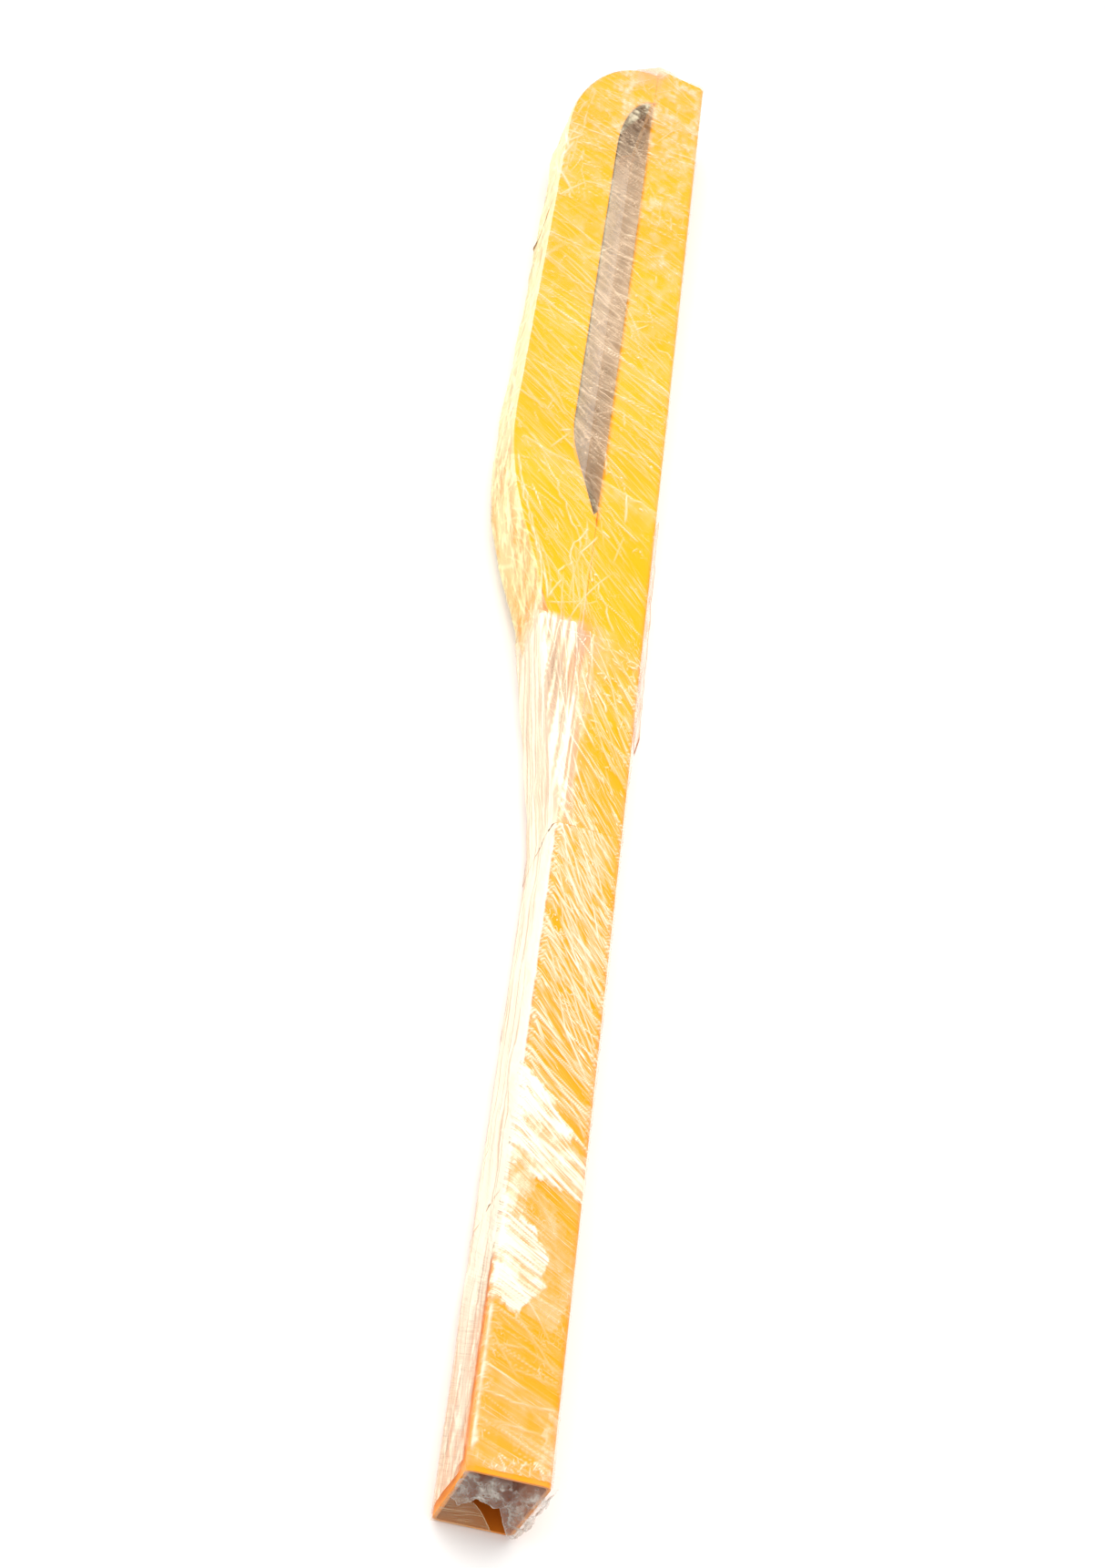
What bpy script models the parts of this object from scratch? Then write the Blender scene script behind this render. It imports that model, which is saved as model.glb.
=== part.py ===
"""Box-section steel post with a welded bow and a lock slot, packed in stretch film.

The post is a rectangular hollow section. It lies on its narrow side, with its open foot towards -Y and
its capped head towards +Y. A shallower box member, the bow, is welded to the left wall of the upper half.
The pointed slot is the gap between the bow and the post. Metres, +Z up, origin under the middle of the
whole object.
"""

import math

import bmesh
import bpy
import numpy as np

# Post: rectangular hollow section 100 x 60 x 3
POST_WIDTH = 0.060
POST_DEPTH = 0.100
WALL = 0.003
CORNER_RADIUS = 0.006
CORNER_STEPS = 6
HEAD_LEFT = 1.784
HEAD_DROP = 0.013

# Cap plate on the slanted head
CAP_THICKNESS = 0.004
CAP_INSET = 0.003

# Bow: box member of 3 mm plate, flush with the front of the post
BOW_DEPTH = 0.080
BOW_REACH = 0.098
BOW_TOE = 0.701
BOW_CROWN = 1.765
LEG_ANGLE = math.radians(18.5)
LEG_BEND_RADIUS = 0.500
CROWN_START = 1.597
CROWN_CENTRE_X = -0.008
EDGE_ROUND = 0.0015

# Slot between the bow and the post
SLOT_WIDTH = 0.037
SLOT_TIP = 0.937
SLOT_TIP_ANGLE = math.radians(17.5)
SLOT_BEND_RADIUS = 0.200
SLOT_ARCH_START = 1.590
SLOT_TOP = 1.702

# Welds
WELD_LEG = 0.004
TOE_WELD_DROP = 0.011

# Stretch film, several layers thick
FILM = 0.0005
FILM_STANDOFF = 0.0003
FILM_FOOT_START = 0.003
FILM_BAND_EDGES = (0.215, 0.560)
HEAD_FILM_START = 0.715
WEB_START = 0.575
WEB_ON_LEG = 0.150
WEB_SAG = 0.006
TAIL_LOW = 0.680
TAIL_HIGH = 0.970
TAIL_FLARE = 0.006
TAIL_DEPTH = 0.040
TUCK_LENGTH = 0.014
TUCK_TOP = 0.012
TUCK_SIDE = 0.016
TUCK_SIDE_FOOT = 0.020

GAP = 0.0003
PATH_STEPS = 14

# The origin is under the middle of the whole object, film included
FILM_OUT = FILM_STANDOFF + FILM
LOWEST_X = -BOW_REACH - FILM_OUT
HIGHEST_X = POST_WIDTH + FILM_OUT + 2 * GAP + TAIL_FLARE + FILM
HIGHEST_Y = HEAD_LEFT + FILM_OUT
SHIFT = np.array([-(LOWEST_X + HIGHEST_X) / 2, -HIGHEST_Y / 2, 0.0])

PAINT = ((1.0, 0.50, 0.01), 0.35, 0.0, 1.0)
WELD_PAINT = ((0.95, 0.44, 0.01), 0.45, 0.0, 1.0)
CLEAR_FILM = ((0.93, 0.93, 0.92), 0.15, 0.0, 0.30)


def clear_scene():
    """Removes every object in the scene."""
    for thing in list(bpy.data.objects):
        bpy.data.objects.remove(thing, do_unlink=True)


def material(name, colour, roughness, metallic, alpha):
    """A Principled material."""
    made = bpy.data.materials.new(name)
    made.use_nodes = True
    shader = made.node_tree.nodes["Principled BSDF"]
    shader.inputs["Base Color"].default_value = (*colour, 1.0)
    shader.inputs["Roughness"].default_value = roughness
    shader.inputs["Metallic"].default_value = metallic
    shader.inputs["Alpha"].default_value = alpha
    return made


def add_object(name, points, faces, finish, smooth_angle=None):
    """Makes a closed mesh object with its faces outward, moved from the post's corner to the origin."""
    mesh = bpy.data.meshes.new(name)
    places = np.asarray(points, float) + SHIFT
    mesh.from_pydata(places.tolist(), [], faces)
    shape = bmesh.new()
    shape.from_mesh(mesh)
    bmesh.ops.recalc_face_normals(shape, faces=shape.faces)
    shape.to_mesh(mesh)
    shape.free()
    if smooth_angle is not None:
        mesh.shade_smooth()
        mesh.set_sharp_from_angle(angle=math.radians(smooth_angle))
    thing = bpy.data.objects.new(name, mesh)
    bpy.context.scene.collection.objects.link(thing)
    mesh.materials.append(material(name, *finish))
    return thing


def band(first, second, count, closed=True):
    """Quads between two loops of count points that start at these vertex numbers."""
    steps = count if closed else count - 1
    return [(first + i, first + (i + 1) % count, second + (i + 1) % count, second + i) for i in range(steps)]


def stacked_loops(name, loops, finish, smooth_angle=None):
    """A solid through a stack of matching closed loops, with an n-gon at each end."""
    count = len(loops[0])
    faces = [tuple(range(count)), tuple(range(count * (len(loops) - 1), count * len(loops)))]
    for level in range(len(loops) - 1):
        faces += band(level * count, (level + 1) * count, count)
    return add_object(name, np.concatenate(loops), faces, finish, smooth_angle)


def ring_loops(name, loops, finish, smooth_angle=None):
    """A solid ring whose section has one corner on each of these matching closed loops."""
    count = len(loops[0])
    faces = []
    for level in range(len(loops)):
        faces += band(level * count, (level + 1) % len(loops) * count, count)
    return add_object(name, np.concatenate(loops), faces, finish, smooth_angle)


def at_height(plan, height):
    """Plan points (x, y) raised to a height."""
    return np.column_stack([plan, np.full(len(plan), height)])


def prism(name, plan, low, high, finish, smooth_angle=None):
    """A plan outline extruded from low to high."""
    return stacked_loops(name, [at_height(plan, low), at_height(plan, high)], finish, smooth_angle)


def along_y(section, start, end):
    """Two loops of an (x, z) section, at y = start(x) and y = end(x)."""
    loops = []
    for place in (start, end):
        loops.append(np.column_stack([section[:, 0], place(section[:, 0]), section[:, 1]]))
    return loops


def level(height):
    """A square end: the same y at every x."""
    return lambda x: np.full(len(x), height)


def head_plane(back):
    """The slanted end of the post, back metres behind the top of the cap."""
    return lambda x: HEAD_LEFT - back - HEAD_DROP * x / POST_WIDTH


def rounded_section(inset):
    """The post's section as (x, z) points, inset from its outer face, with round corners."""
    radius = max(CORNER_RADIUS - inset, 0.001)
    corners = [
        (POST_WIDTH - inset - radius, POST_DEPTH - inset - radius, 0),
        (inset + radius, POST_DEPTH - inset - radius, 90),
        (inset + radius, inset + radius, 180),
        (POST_WIDTH - inset - radius, inset + radius, 270),
    ]
    points = []
    for x, z, start in corners:
        for angle in np.radians(np.linspace(start, start + 90, CORNER_STEPS)):
            points.append((x + radius * math.cos(angle), z + radius * math.sin(angle)))
    return np.array(points)


def leg_path(reach, tip, angle, bend, grow):
    """The slanted leg and its bend, from the post's wall up to the straight side, grow metres outwards."""
    bend_x = -reach + bend
    straight = (bend * (1 - math.cos(angle)) - reach) / -math.sin(angle)
    bend_y = tip + straight * math.cos(angle) + bend * math.sin(angle)
    radius = bend + grow
    turns = np.linspace(angle, 0, PATH_STEPS)
    arc = np.column_stack([bend_x - radius * np.cos(turns), bend_y - radius * np.sin(turns)])
    back = (-GAP - arc[0, 0]) / math.sin(angle)
    foot = [(-GAP, arc[0, 1] - back * math.cos(angle))]
    return np.concatenate([foot, arc])


def arch_path(reach, centre_x, start, top, grow):
    """A quarter ellipse from the straight side over to the post's wall, grow metres outwards."""
    wide = reach + centre_x + grow
    high = top - start + grow
    turns = np.linspace(0, math.pi / 2, 2 * PATH_STEPS)
    arc = np.column_stack([centre_x - wide * np.cos(turns), start + high * np.sin(turns)])
    if centre_x < -GAP:
        return np.concatenate([arc, [(-GAP, top + grow)]])
    arc[-1, 0] = -GAP
    return arc


def bow_outside(grow):
    """The bow's outer outline from its toe to its crown."""
    leg = leg_path(BOW_REACH, BOW_TOE, LEG_ANGLE, LEG_BEND_RADIUS, grow)
    arch = arch_path(BOW_REACH, CROWN_CENTRE_X, CROWN_START, BOW_CROWN, grow)
    return np.concatenate([leg, arch])


def slot_side(grow):
    """The slot's curved side from its lower tip to its top."""
    leg = leg_path(SLOT_WIDTH, SLOT_TIP, SLOT_TIP_ANGLE, SLOT_BEND_RADIUS, grow)
    arch = arch_path(SLOT_WIDTH, 0.0, SLOT_ARCH_START, SLOT_TOP, grow)
    return np.concatenate([leg, arch])


def cheek_outline(inset):
    """The C-shaped face of the bow, between its outside and the slot."""
    return np.concatenate([bow_outside(-inset), slot_side(inset)[::-1]])


def make_post():
    """The hollow post, open at the foot and cut at a slant at the head."""
    tube_end = head_plane(CAP_THICKNESS + GAP)
    outer = along_y(rounded_section(0), level(0), tube_end)
    inner = along_y(rounded_section(WALL), level(0), tube_end)
    ring_loops("post_tube", [outer[0], outer[1], inner[1], inner[0]], PAINT, 40)


def make_cap():
    """The plate that closes the head, and the weld bead round its edge."""
    plate = rounded_section(CAP_INSET)
    stacked_loops("post_cap", along_y(plate, head_plane(CAP_THICKNESS), head_plane(0)), PAINT, 40)
    outside = along_y(rounded_section(GAP), head_plane(CAP_THICKNESS), head_plane(0))[0]
    inside = along_y(rounded_section(CAP_INSET - GAP), head_plane(CAP_THICKNESS), head_plane(GAP))
    ring_loops("weld_cap", [outside, inside[1], inside[0]], WELD_PAINT, 60)


def make_bow():
    """Two cheek plates, three outer strips end to end and the strip that lines the slot."""
    rear = POST_DEPTH - BOW_DEPTH
    turns = np.linspace(0, math.pi / 2, 4)
    insets = EDGE_ROUND * (1 - np.cos(turns))
    rises = EDGE_ROUND * np.sin(turns)
    faces = {
        "bow_front_cheek": (POST_DEPTH - WALL, POST_DEPTH, 1),
        "bow_rear_cheek": (rear + WALL, rear, -1),
    }
    for name, (inside, outside, way) in faces.items():
        loops = [at_height(cheek_outline(0), inside)]
        for inset, rise in zip(insets, rises):
            loops.append(at_height(cheek_outline(inset), outside + way * (rise - EDGE_ROUND)))
        stacked_loops(name, loops, PAINT, 40)
    low = rear + WALL + GAP
    high = POST_DEPTH - WALL - GAP
    side_start = PATH_STEPS
    spans = {
        "bow_leg_strip": slice(0, side_start + 1),
        "bow_side_strip": slice(side_start, side_start + 2),
        "bow_crown_strip": slice(side_start + 1, None),
    }
    for name, span in spans.items():
        outer = bow_outside(0)[span]
        inner = bow_outside(-WALL)[span]
        if name == "bow_side_strip":
            outer[:, 1] += GAP, -GAP
            inner[:, 1] = outer[:, 1]
        prism(name, np.concatenate([outer, inner[::-1]]), low, high, PAINT, 40)
    inner_strip = np.concatenate([slot_side(0), slot_side(WALL)[::-1]])
    prism("bow_inner_strip", inner_strip, low, high, PAINT, 40)


def face_welds():
    """Seams that run along the post: flush flare welds in front and fillets behind."""
    rear = POST_DEPTH - BOW_DEPTH
    radius = CORNER_RADIUS + GAP
    reach = math.sqrt(radius**2 - CORNER_RADIUS**2)
    limit = math.asin(reach / radius)
    turns = np.linspace(limit, math.pi / 2 - limit, 6)
    arc = np.column_stack(
        [CORNER_RADIUS - radius * np.sin(turns), POST_DEPTH - CORNER_RADIUS + radius * np.cos(turns)]
    )
    flare = np.concatenate([[(0.0, POST_DEPTH)], arc])
    corner = (-GAP, rear - GAP)
    hollow = 0.35 * WELD_LEG
    fillet = np.array(
        [
            corner,
            (corner[0] - WELD_LEG, corner[1]),
            (corner[0] - hollow, corner[1] - hollow),
            (corner[0], corner[1] - WELD_LEG),
        ]
    )
    spans = {
        "lower": (BOW_TOE + 4 * WELD_LEG, SLOT_TIP - WELD_LEG),
        "upper": (SLOT_TOP + GAP, BOW_CROWN - EDGE_ROUND),
    }
    for place, (start, end) in spans.items():
        stacked_loops(f"weld_front_{place}", along_y(flare, level(start), level(end)), WELD_PAINT, 40)
        stacked_loops(f"weld_rear_{place}", along_y(fillet, level(start), level(end)), WELD_PAINT, 40)


def strip_welds():
    """Beads up the ends of both strips, at the toe, the crown and the two ends of the slot."""
    rear = POST_DEPTH - BOW_DEPTH
    toe_rise = 2 * WELD_LEG
    toe = [
        (-GAP, BOW_TOE - TOE_WELD_DROP),
        (-GAP, BOW_TOE - GAP),
        (-GAP - toe_rise * math.tan(LEG_ANGLE), BOW_TOE + toe_rise - GAP),
    ]
    crown = [
        (-GAP, BOW_CROWN + GAP),
        (-GAP - WELD_LEG, BOW_CROWN + GAP),
        (-GAP, BOW_CROWN + GAP + WELD_LEG),
    ]
    tip_lift = 2 * GAP / math.tan(SLOT_TIP_ANGLE)
    tip_rise = 3 * WELD_LEG
    tip = [
        (-GAP, SLOT_TIP + tip_lift),
        (-GAP - tip_rise * math.tan(SLOT_TIP_ANGLE), SLOT_TIP + tip_lift + tip_rise),
        (-GAP, SLOT_TIP + tip_lift + 1.5 * tip_rise),
    ]
    top = [
        (-GAP, SLOT_TOP - 2 * GAP),
        (-GAP, SLOT_TOP - 2 * GAP - WELD_LEG),
        (-GAP - WELD_LEG, SLOT_TOP - 4 * GAP),
    ]
    beads = {"weld_toe": toe, "weld_crown": crown, "weld_slot_tip": tip, "weld_slot_top": top}
    for name, plan in beads.items():
        prism(name, np.array(plan), rear + WALL, POST_DEPTH - WALL, WELD_PAINT)


def film_saddle(inset):
    """An (x, z) line up one side of the post, over its top and down the other side."""
    radius = CORNER_RADIUS + inset
    points = [(-inset, 0.0)]
    for x, start in ((CORNER_RADIUS, 180), (POST_WIDTH - CORNER_RADIUS, 90)):
        for angle in np.radians(np.linspace(start, start - 90, CORNER_STEPS)):
            height = POST_DEPTH - CORNER_RADIUS + radius * math.sin(angle)
            points.append((x + radius * math.cos(angle), height))
    points.append((POST_WIDTH + inset, 0.0))
    return np.array(points)


def make_shaft_film():
    """Film saddles along the plain part of the post, one for each band of wrapping."""
    section = np.concatenate([film_saddle(FILM_OUT), film_saddle(FILM_STANDOFF)[::-1]])
    edges = (FILM_FOOT_START, *FILM_BAND_EDGES, BOW_TOE - TOE_WELD_DROP)
    names = ("film_wrap_foot", "film_wrap_shaft", "film_wrap_neck")
    for name, start, end in zip(names, edges, edges[1:]):
        stacked_loops(name, along_y(section, level(start), level(end - GAP)), CLEAR_FILM, 40)


def head_outline(grow, start):
    """The plan of the head, post and bow, from y = start on, grow metres outwards."""
    bow = bow_outside(grow)[:-1]
    bow[0] = bow[1, 0] + (bow[1, 1] - start) * math.tan(LEG_ANGLE), start
    right_end = HEAD_LEFT - HEAD_DROP + grow
    post = [(-grow, HEAD_LEFT + grow), (POST_WIDTH + grow, right_end), (POST_WIDTH + grow, start)]
    return np.concatenate([bow, post])


def cutter(name, plan, low, high):
    """A solid that only cuts: not rendered, shown as wire."""
    made = prism(name, plan, low, high, CLEAR_FILM)
    made.hide_render = True
    made.display_type = "WIRE"
    return made


def make_head_film():
    """One film cover over the head, open below, with a window over the slot."""
    rear = POST_DEPTH - BOW_DEPTH
    outside = head_outline(FILM_OUT, HEAD_FILM_START)
    cover = prism("film_wrap_head", outside, rear, POST_DEPTH + FILM_OUT, CLEAR_FILM)
    inside = head_outline(FILM_STANDOFF, HEAD_FILM_START - WALL)
    window = np.concatenate([slot_side(0), [(0.0, SLOT_TOP), (0.0, SLOT_TIP)]])
    tools = [
        cutter("cutter_head_room", inside, rear - WALL, POST_DEPTH + FILM_STANDOFF),
        cutter("cutter_slot_window", window, POST_DEPTH - WALL, POST_DEPTH + WALL),
    ]
    for tool in tools:
        cut = cover.modifiers.new(tool.name, "BOOLEAN")
        cut.operation = "DIFFERENCE"
        cut.solver = "EXACT"
        cut.object = tool


def thick_line(plan, thickness):
    """A plan line given a thickness to its left."""
    along = np.gradient(plan, axis=0)
    along /= np.linalg.norm(along, axis=1)[:, None]
    left = np.column_stack([-along[:, 1], along[:, 0]])
    return np.concatenate([plan, (plan + left * thickness)[::-1]])


def make_loose_film():
    """The web across the neck, the loose tail on the right and the roll tucked into the foot."""
    rear = POST_DEPTH - BOW_DEPTH
    clear = FILM_OUT + 2 * GAP
    share = np.linspace(0, 1, PATH_STEPS)
    low = np.array([-clear, WEB_START])
    high = np.array([-clear / math.cos(LEG_ANGLE), BOW_TOE])
    high += WEB_ON_LEG * np.array([-math.sin(LEG_ANGLE), math.cos(LEG_ANGLE)])
    web = low + share[:, None] * (high - low)
    web[:, 0] += WEB_SAG * np.sin(math.pi * share)
    prism("film_neck_web", thick_line(web, FILM), rear + GAP, POST_DEPTH - GAP, CLEAR_FILM, 40)
    tail = np.column_stack(
        [POST_WIDTH + clear + TAIL_FLARE * (1 - share) ** 2, TAIL_LOW + share * (TAIL_HIGH - TAIL_LOW)]
    )
    tail_solid = np.concatenate([tail + (FILM, 0), tail[::-1]])
    prism("film_tail", tail_solid, POST_DEPTH - TAIL_DEPTH, POST_DEPTH, CLEAR_FILM, 40)
    left = WALL + 2 * GAP
    right = POST_WIDTH - left
    top = POST_DEPTH - left
    tuck = np.array(
        [
            (left + CORNER_RADIUS, top),
            (left, top - TUCK_TOP),
            (right - TUCK_SIDE, top - TUCK_TOP),
            (right - TUCK_SIDE, TUCK_SIDE_FOOT),
            (right, TUCK_SIDE_FOOT),
            (right, top - CORNER_RADIUS),
            (right - CORNER_RADIUS, top),
        ]
    )
    stacked_loops("film_foot_tuck", along_y(tuck, level(GAP), level(TUCK_LENGTH)), CLEAR_FILM)


clear_scene()
make_post()
make_cap()
make_bow()
face_welds()
strip_welds()
make_shaft_film()
make_head_film()
make_loose_film()
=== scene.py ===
"""A welded steel post with a bow and a lock slot, packed in crumpled stretch film, lying on a pale floor.

Lengths are in metres. The film is worked out in the post's own frame: x across the post from its left
wall (the bow is on the negative side), y along it from the open foot, z up from the floor.
"""

import logging
import math
from dataclasses import dataclass, field
from enum import Enum

import bpy
import numpy as np
from mathutils import Matrix, Vector


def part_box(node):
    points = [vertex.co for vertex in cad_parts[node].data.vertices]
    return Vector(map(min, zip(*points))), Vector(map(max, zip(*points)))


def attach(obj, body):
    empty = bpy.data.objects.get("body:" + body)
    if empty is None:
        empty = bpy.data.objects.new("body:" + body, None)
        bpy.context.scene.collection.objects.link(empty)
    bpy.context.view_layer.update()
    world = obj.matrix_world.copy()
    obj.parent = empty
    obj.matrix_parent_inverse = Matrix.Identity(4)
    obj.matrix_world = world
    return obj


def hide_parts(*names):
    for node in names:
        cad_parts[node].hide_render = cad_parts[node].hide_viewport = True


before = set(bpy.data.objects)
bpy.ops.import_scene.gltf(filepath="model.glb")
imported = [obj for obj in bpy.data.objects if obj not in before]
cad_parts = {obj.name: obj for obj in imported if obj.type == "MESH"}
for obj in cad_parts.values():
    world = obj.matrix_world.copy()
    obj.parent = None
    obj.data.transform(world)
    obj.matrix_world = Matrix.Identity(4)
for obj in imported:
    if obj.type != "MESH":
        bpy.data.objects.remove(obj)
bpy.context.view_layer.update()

ORIGIN = np.array(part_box("post_tube")[0])
LOG = logging.getLogger("post")
MM = 0.001

Grid = np.ndarray
Pair = tuple[float, float]
Triple = tuple[float, float, float]
Material = bpy.types.Material
Socket = bpy.types.NodeSocket
Value = Socket | float | tuple
Thing = bpy.types.Object


class Held(Enum):
    """How a sheet of film is kept in place."""

    STRETCHED = "stretched"
    GATHERED = "gathered"
    DRAPED = "draped"


def smooth(values: Grid, low: float, high: float) -> Grid:
    """Rise from 0 at low to 1 at high along the cubic 3t^2 - 2t^3.

    Args:
        values: Numbers to map.
        low: Value that gives 0.
        high: Value that gives 1.

    Returns:
        The mapped numbers.
    """
    share = np.clip((values - low) / (high - low), 0.0, 1.0)
    return share * share * (3.0 - 2.0 * share)


def noise(a: Grid, b: Grid, cell: Pair, seed: int) -> Grid:
    """Smooth value noise: random numbers on a lattice, blended with the cubic 3t^2 - 2t^3.

    Args:
        a: First coordinate, in metres.
        b: Second coordinate, in metres.
        cell: Lattice spacing along each coordinate, in millimetres.
        seed: Picks the random lattice.

    Returns:
        Values from 0 to 1.
    """
    size = 64
    table = np.random.default_rng(seed).random((size, size))
    p, q = a / (cell[0] * MM), b / (cell[1] * MM)
    i, j = np.floor(p).astype(int), np.floor(q).astype(int)
    s, t = p - i, q - j
    s, t = s * s * (3 - 2 * s), t * t * (3 - 2 * t)
    i0, j0, i1, j1 = i % size, j % size, (i + 1) % size, (j + 1) % size
    low = table[i0, j0] * (1 - s) + table[i1, j0] * s
    high = table[i0, j1] * (1 - s) + table[i1, j1] * s
    return low * (1 - t) + high * t


@dataclass(frozen=True)
class Hull:
    """The outside that the film is stretched over: the post, its bow and the bridges between them."""

    width: float = 0.060
    depth: float = 0.100
    head: float = 1.784
    drop: float = 0.013
    rear: float = 0.020
    reach: float = 0.098
    toe: float = 0.701
    lean: float = math.radians(18.5)
    bend: float = 0.500
    bridge: Pair = (0.575, 0.843)
    crown: Pair = (1.597, 1.765)
    crown_centre: float = -0.008
    crown_bridge: Pair = (-0.045, 1.748)
    slot: Triple = (0.037, 0.937, 1.702)

    def left(self, y: Grid) -> Grid:
        """x of the left side at each y.

        It is 0 along the plain post, then the straight bridge, the leg x = -(y - toe) tan(lean), the
        circular bend, the straight side, and the quarter ellipse of the crown with its own bridge.

        Args:
            y: Places along the post.

        Returns:
            x of the left side, zero or negative.
        """
        run = (self.reach - self.bend * (1 - math.cos(self.lean))) / math.sin(self.lean)
        bend_end = self.toe + run * math.cos(self.lean) + self.bend * math.sin(self.lean)
        bend_start = bend_end - self.bend * math.sin(self.lean)
        low, high = self.bridge
        at_high = -(high - self.toe) * math.tan(self.lean)
        x = np.where(y < high, np.clip((y - low) / (high - low), 0, 1) * at_high, 0.0)
        x = np.where(y >= high, -(y - self.toe) * math.tan(self.lean), x)
        arc = self.bend - self.reach - np.sqrt(np.maximum(self.bend**2 - (y - bend_end) ** 2, 0))
        x = np.where(y >= bend_start, arc, x)
        x = np.where(y >= bend_end, -self.reach, x)
        start, top = self.crown
        high_share = np.clip((y - start) / (top - start), 0, 1)
        ellipse = self.crown_centre - (self.reach + self.crown_centre) * np.sqrt(1 - high_share**2)
        ellipse = np.where(y >= top, 0.0, ellipse)
        edge_x, edge_y = self.crown_bridge
        chord = edge_x * np.clip((self.head - y) / (self.head - edge_y), 0, 1)
        return np.where(y >= start, np.minimum(ellipse, chord), x)

    def slot_share(self, x: Grid, y: Grid) -> Grid:
        """How deep inside the slot's outline a place lies.

        The slot runs left from the post's wall, and its width grows from its tip and closes at its top.

        Args:
            x: Places across the post.
            y: Places along it.

        Returns:
            0 at the edge to 1 in the middle.
        """
        wide, low, high = self.slot
        room = wide * smooth(y, low, low + 0.110) * (1 - 0.98 * smooth(y, high - 0.100, high))
        return np.clip(np.minimum(-x, x + room) / (0.5 * wide), 0, 1)


# Room kept round a pleat when its rows are picked; the width of the wall's wider pleats, in millimetres.
PLEAT_MARGIN = 60 * MM
WALL_PLEAT = (1.0, 2.0)


@dataclass(frozen=True)
class Pleats:
    """Straight or slightly bowed pleats, scattered over a part of the film.

    A pleat's height at a distance d from its line and t along it is exp(-(d / width)^2) (1 - (t / half)^4).
    Lengths here are in millimetres, turn and scatter in degrees, and bow is curvature per metre.
    """

    count: int
    across: Pair
    along: Pair
    seed: int
    turn: float | None = None
    scatter: float = 9.0
    length: Pair = (20, 80)
    width: Pair = (0.4, 0.85)
    rise: float = 0.6
    # How white the pleat is marked: partly whitened film and partly a painted glint along its crest.
    mark: float = 0.8
    bow: float = 1.5

    def add_to(self, u: Grid, v: Grid, rise: Grid, mark: Grid) -> None:
        """Raise the film along each pleat and mark it, in place.

        Args:
            u: Place round the film, rows by columns.
            v: Place along the film, rows by columns.
            rise: Height over the hull, changed here.
            mark: Strength of the crease, changed here.
        """
        rng = np.random.default_rng(self.seed)
        places_u = MM * rng.uniform(*self.across, self.count)
        places_v = MM * rng.uniform(*self.along, self.count)
        halves = 0.5 * MM * rng.uniform(*self.length, self.count)
        widths = MM * rng.uniform(*self.width, self.count)
        turns = rng.normal(0.0, self.scatter, self.count)
        bows = rng.normal(0.0, self.bow, self.count)
        sizes = rng.uniform(0.35, 1.0, self.count)
        rows = v[:, v.shape[1] // 2]
        for k in range(self.count):
            base = self.turn if self.turn is not None else float(wind_angle(places_v[k]))
            angle = math.radians(base + turns[k])
            reach = halves[k] + PLEAT_MARGIN
            first, last = np.searchsorted(rows, (places_v[k] - reach, places_v[k] + reach))
            if first == last:
                continue
            near = slice(first, last)
            du, dv = u[near] - places_u[k], v[near] - places_v[k]
            t = du * math.cos(angle) + dv * math.sin(angle)
            d = dv * math.cos(angle) - du * math.sin(angle) + bows[k] * t * t
            value = np.exp(-((d / widths[k]) ** 2)) * np.clip(1 - (t / halves[k]) ** 4, 0, 1) * sizes[k]
            rise[near] = np.maximum(rise[near], value * self.rise * MM)
            mark[near] = np.maximum(mark[near], value * self.mark)


WIND_PLACES = (0.0, 0.12, 0.25, 0.40, 0.60, 0.80, 0.95, 1.10, 1.30, 1.80)
WIND_ANGLES = (-20.0, -24.0, -40.0, -53.0, -60.0, -58.0, -48.0, -38.0, -30.0, -26.0)


def wind_angle(y: Grid) -> Grid:
    """Angle of the film's grain at each y, in degrees from the x axis, between the listed places."""
    return np.interp(y, WIND_PLACES, WIND_ANGLES)


def grain(u: Grid, y: Grid) -> Grid:
    """A coordinate that is constant along the film's grain: u minus the integral of cot(angle) over y.

    Args:
        u: Place round the film.
        y: Place along it.

    Returns:
        The coordinate across the grain.
    """
    steps = np.linspace(-0.1, 1.9, 801)
    slopes = 1.0 / np.tan(np.radians(wind_angle(steps)))
    total = np.concatenate([[0.0], np.cumsum(0.5 * (slopes[1:] + slopes[:-1]) * np.diff(steps))])
    return u - np.interp(y, steps, total)


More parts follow.
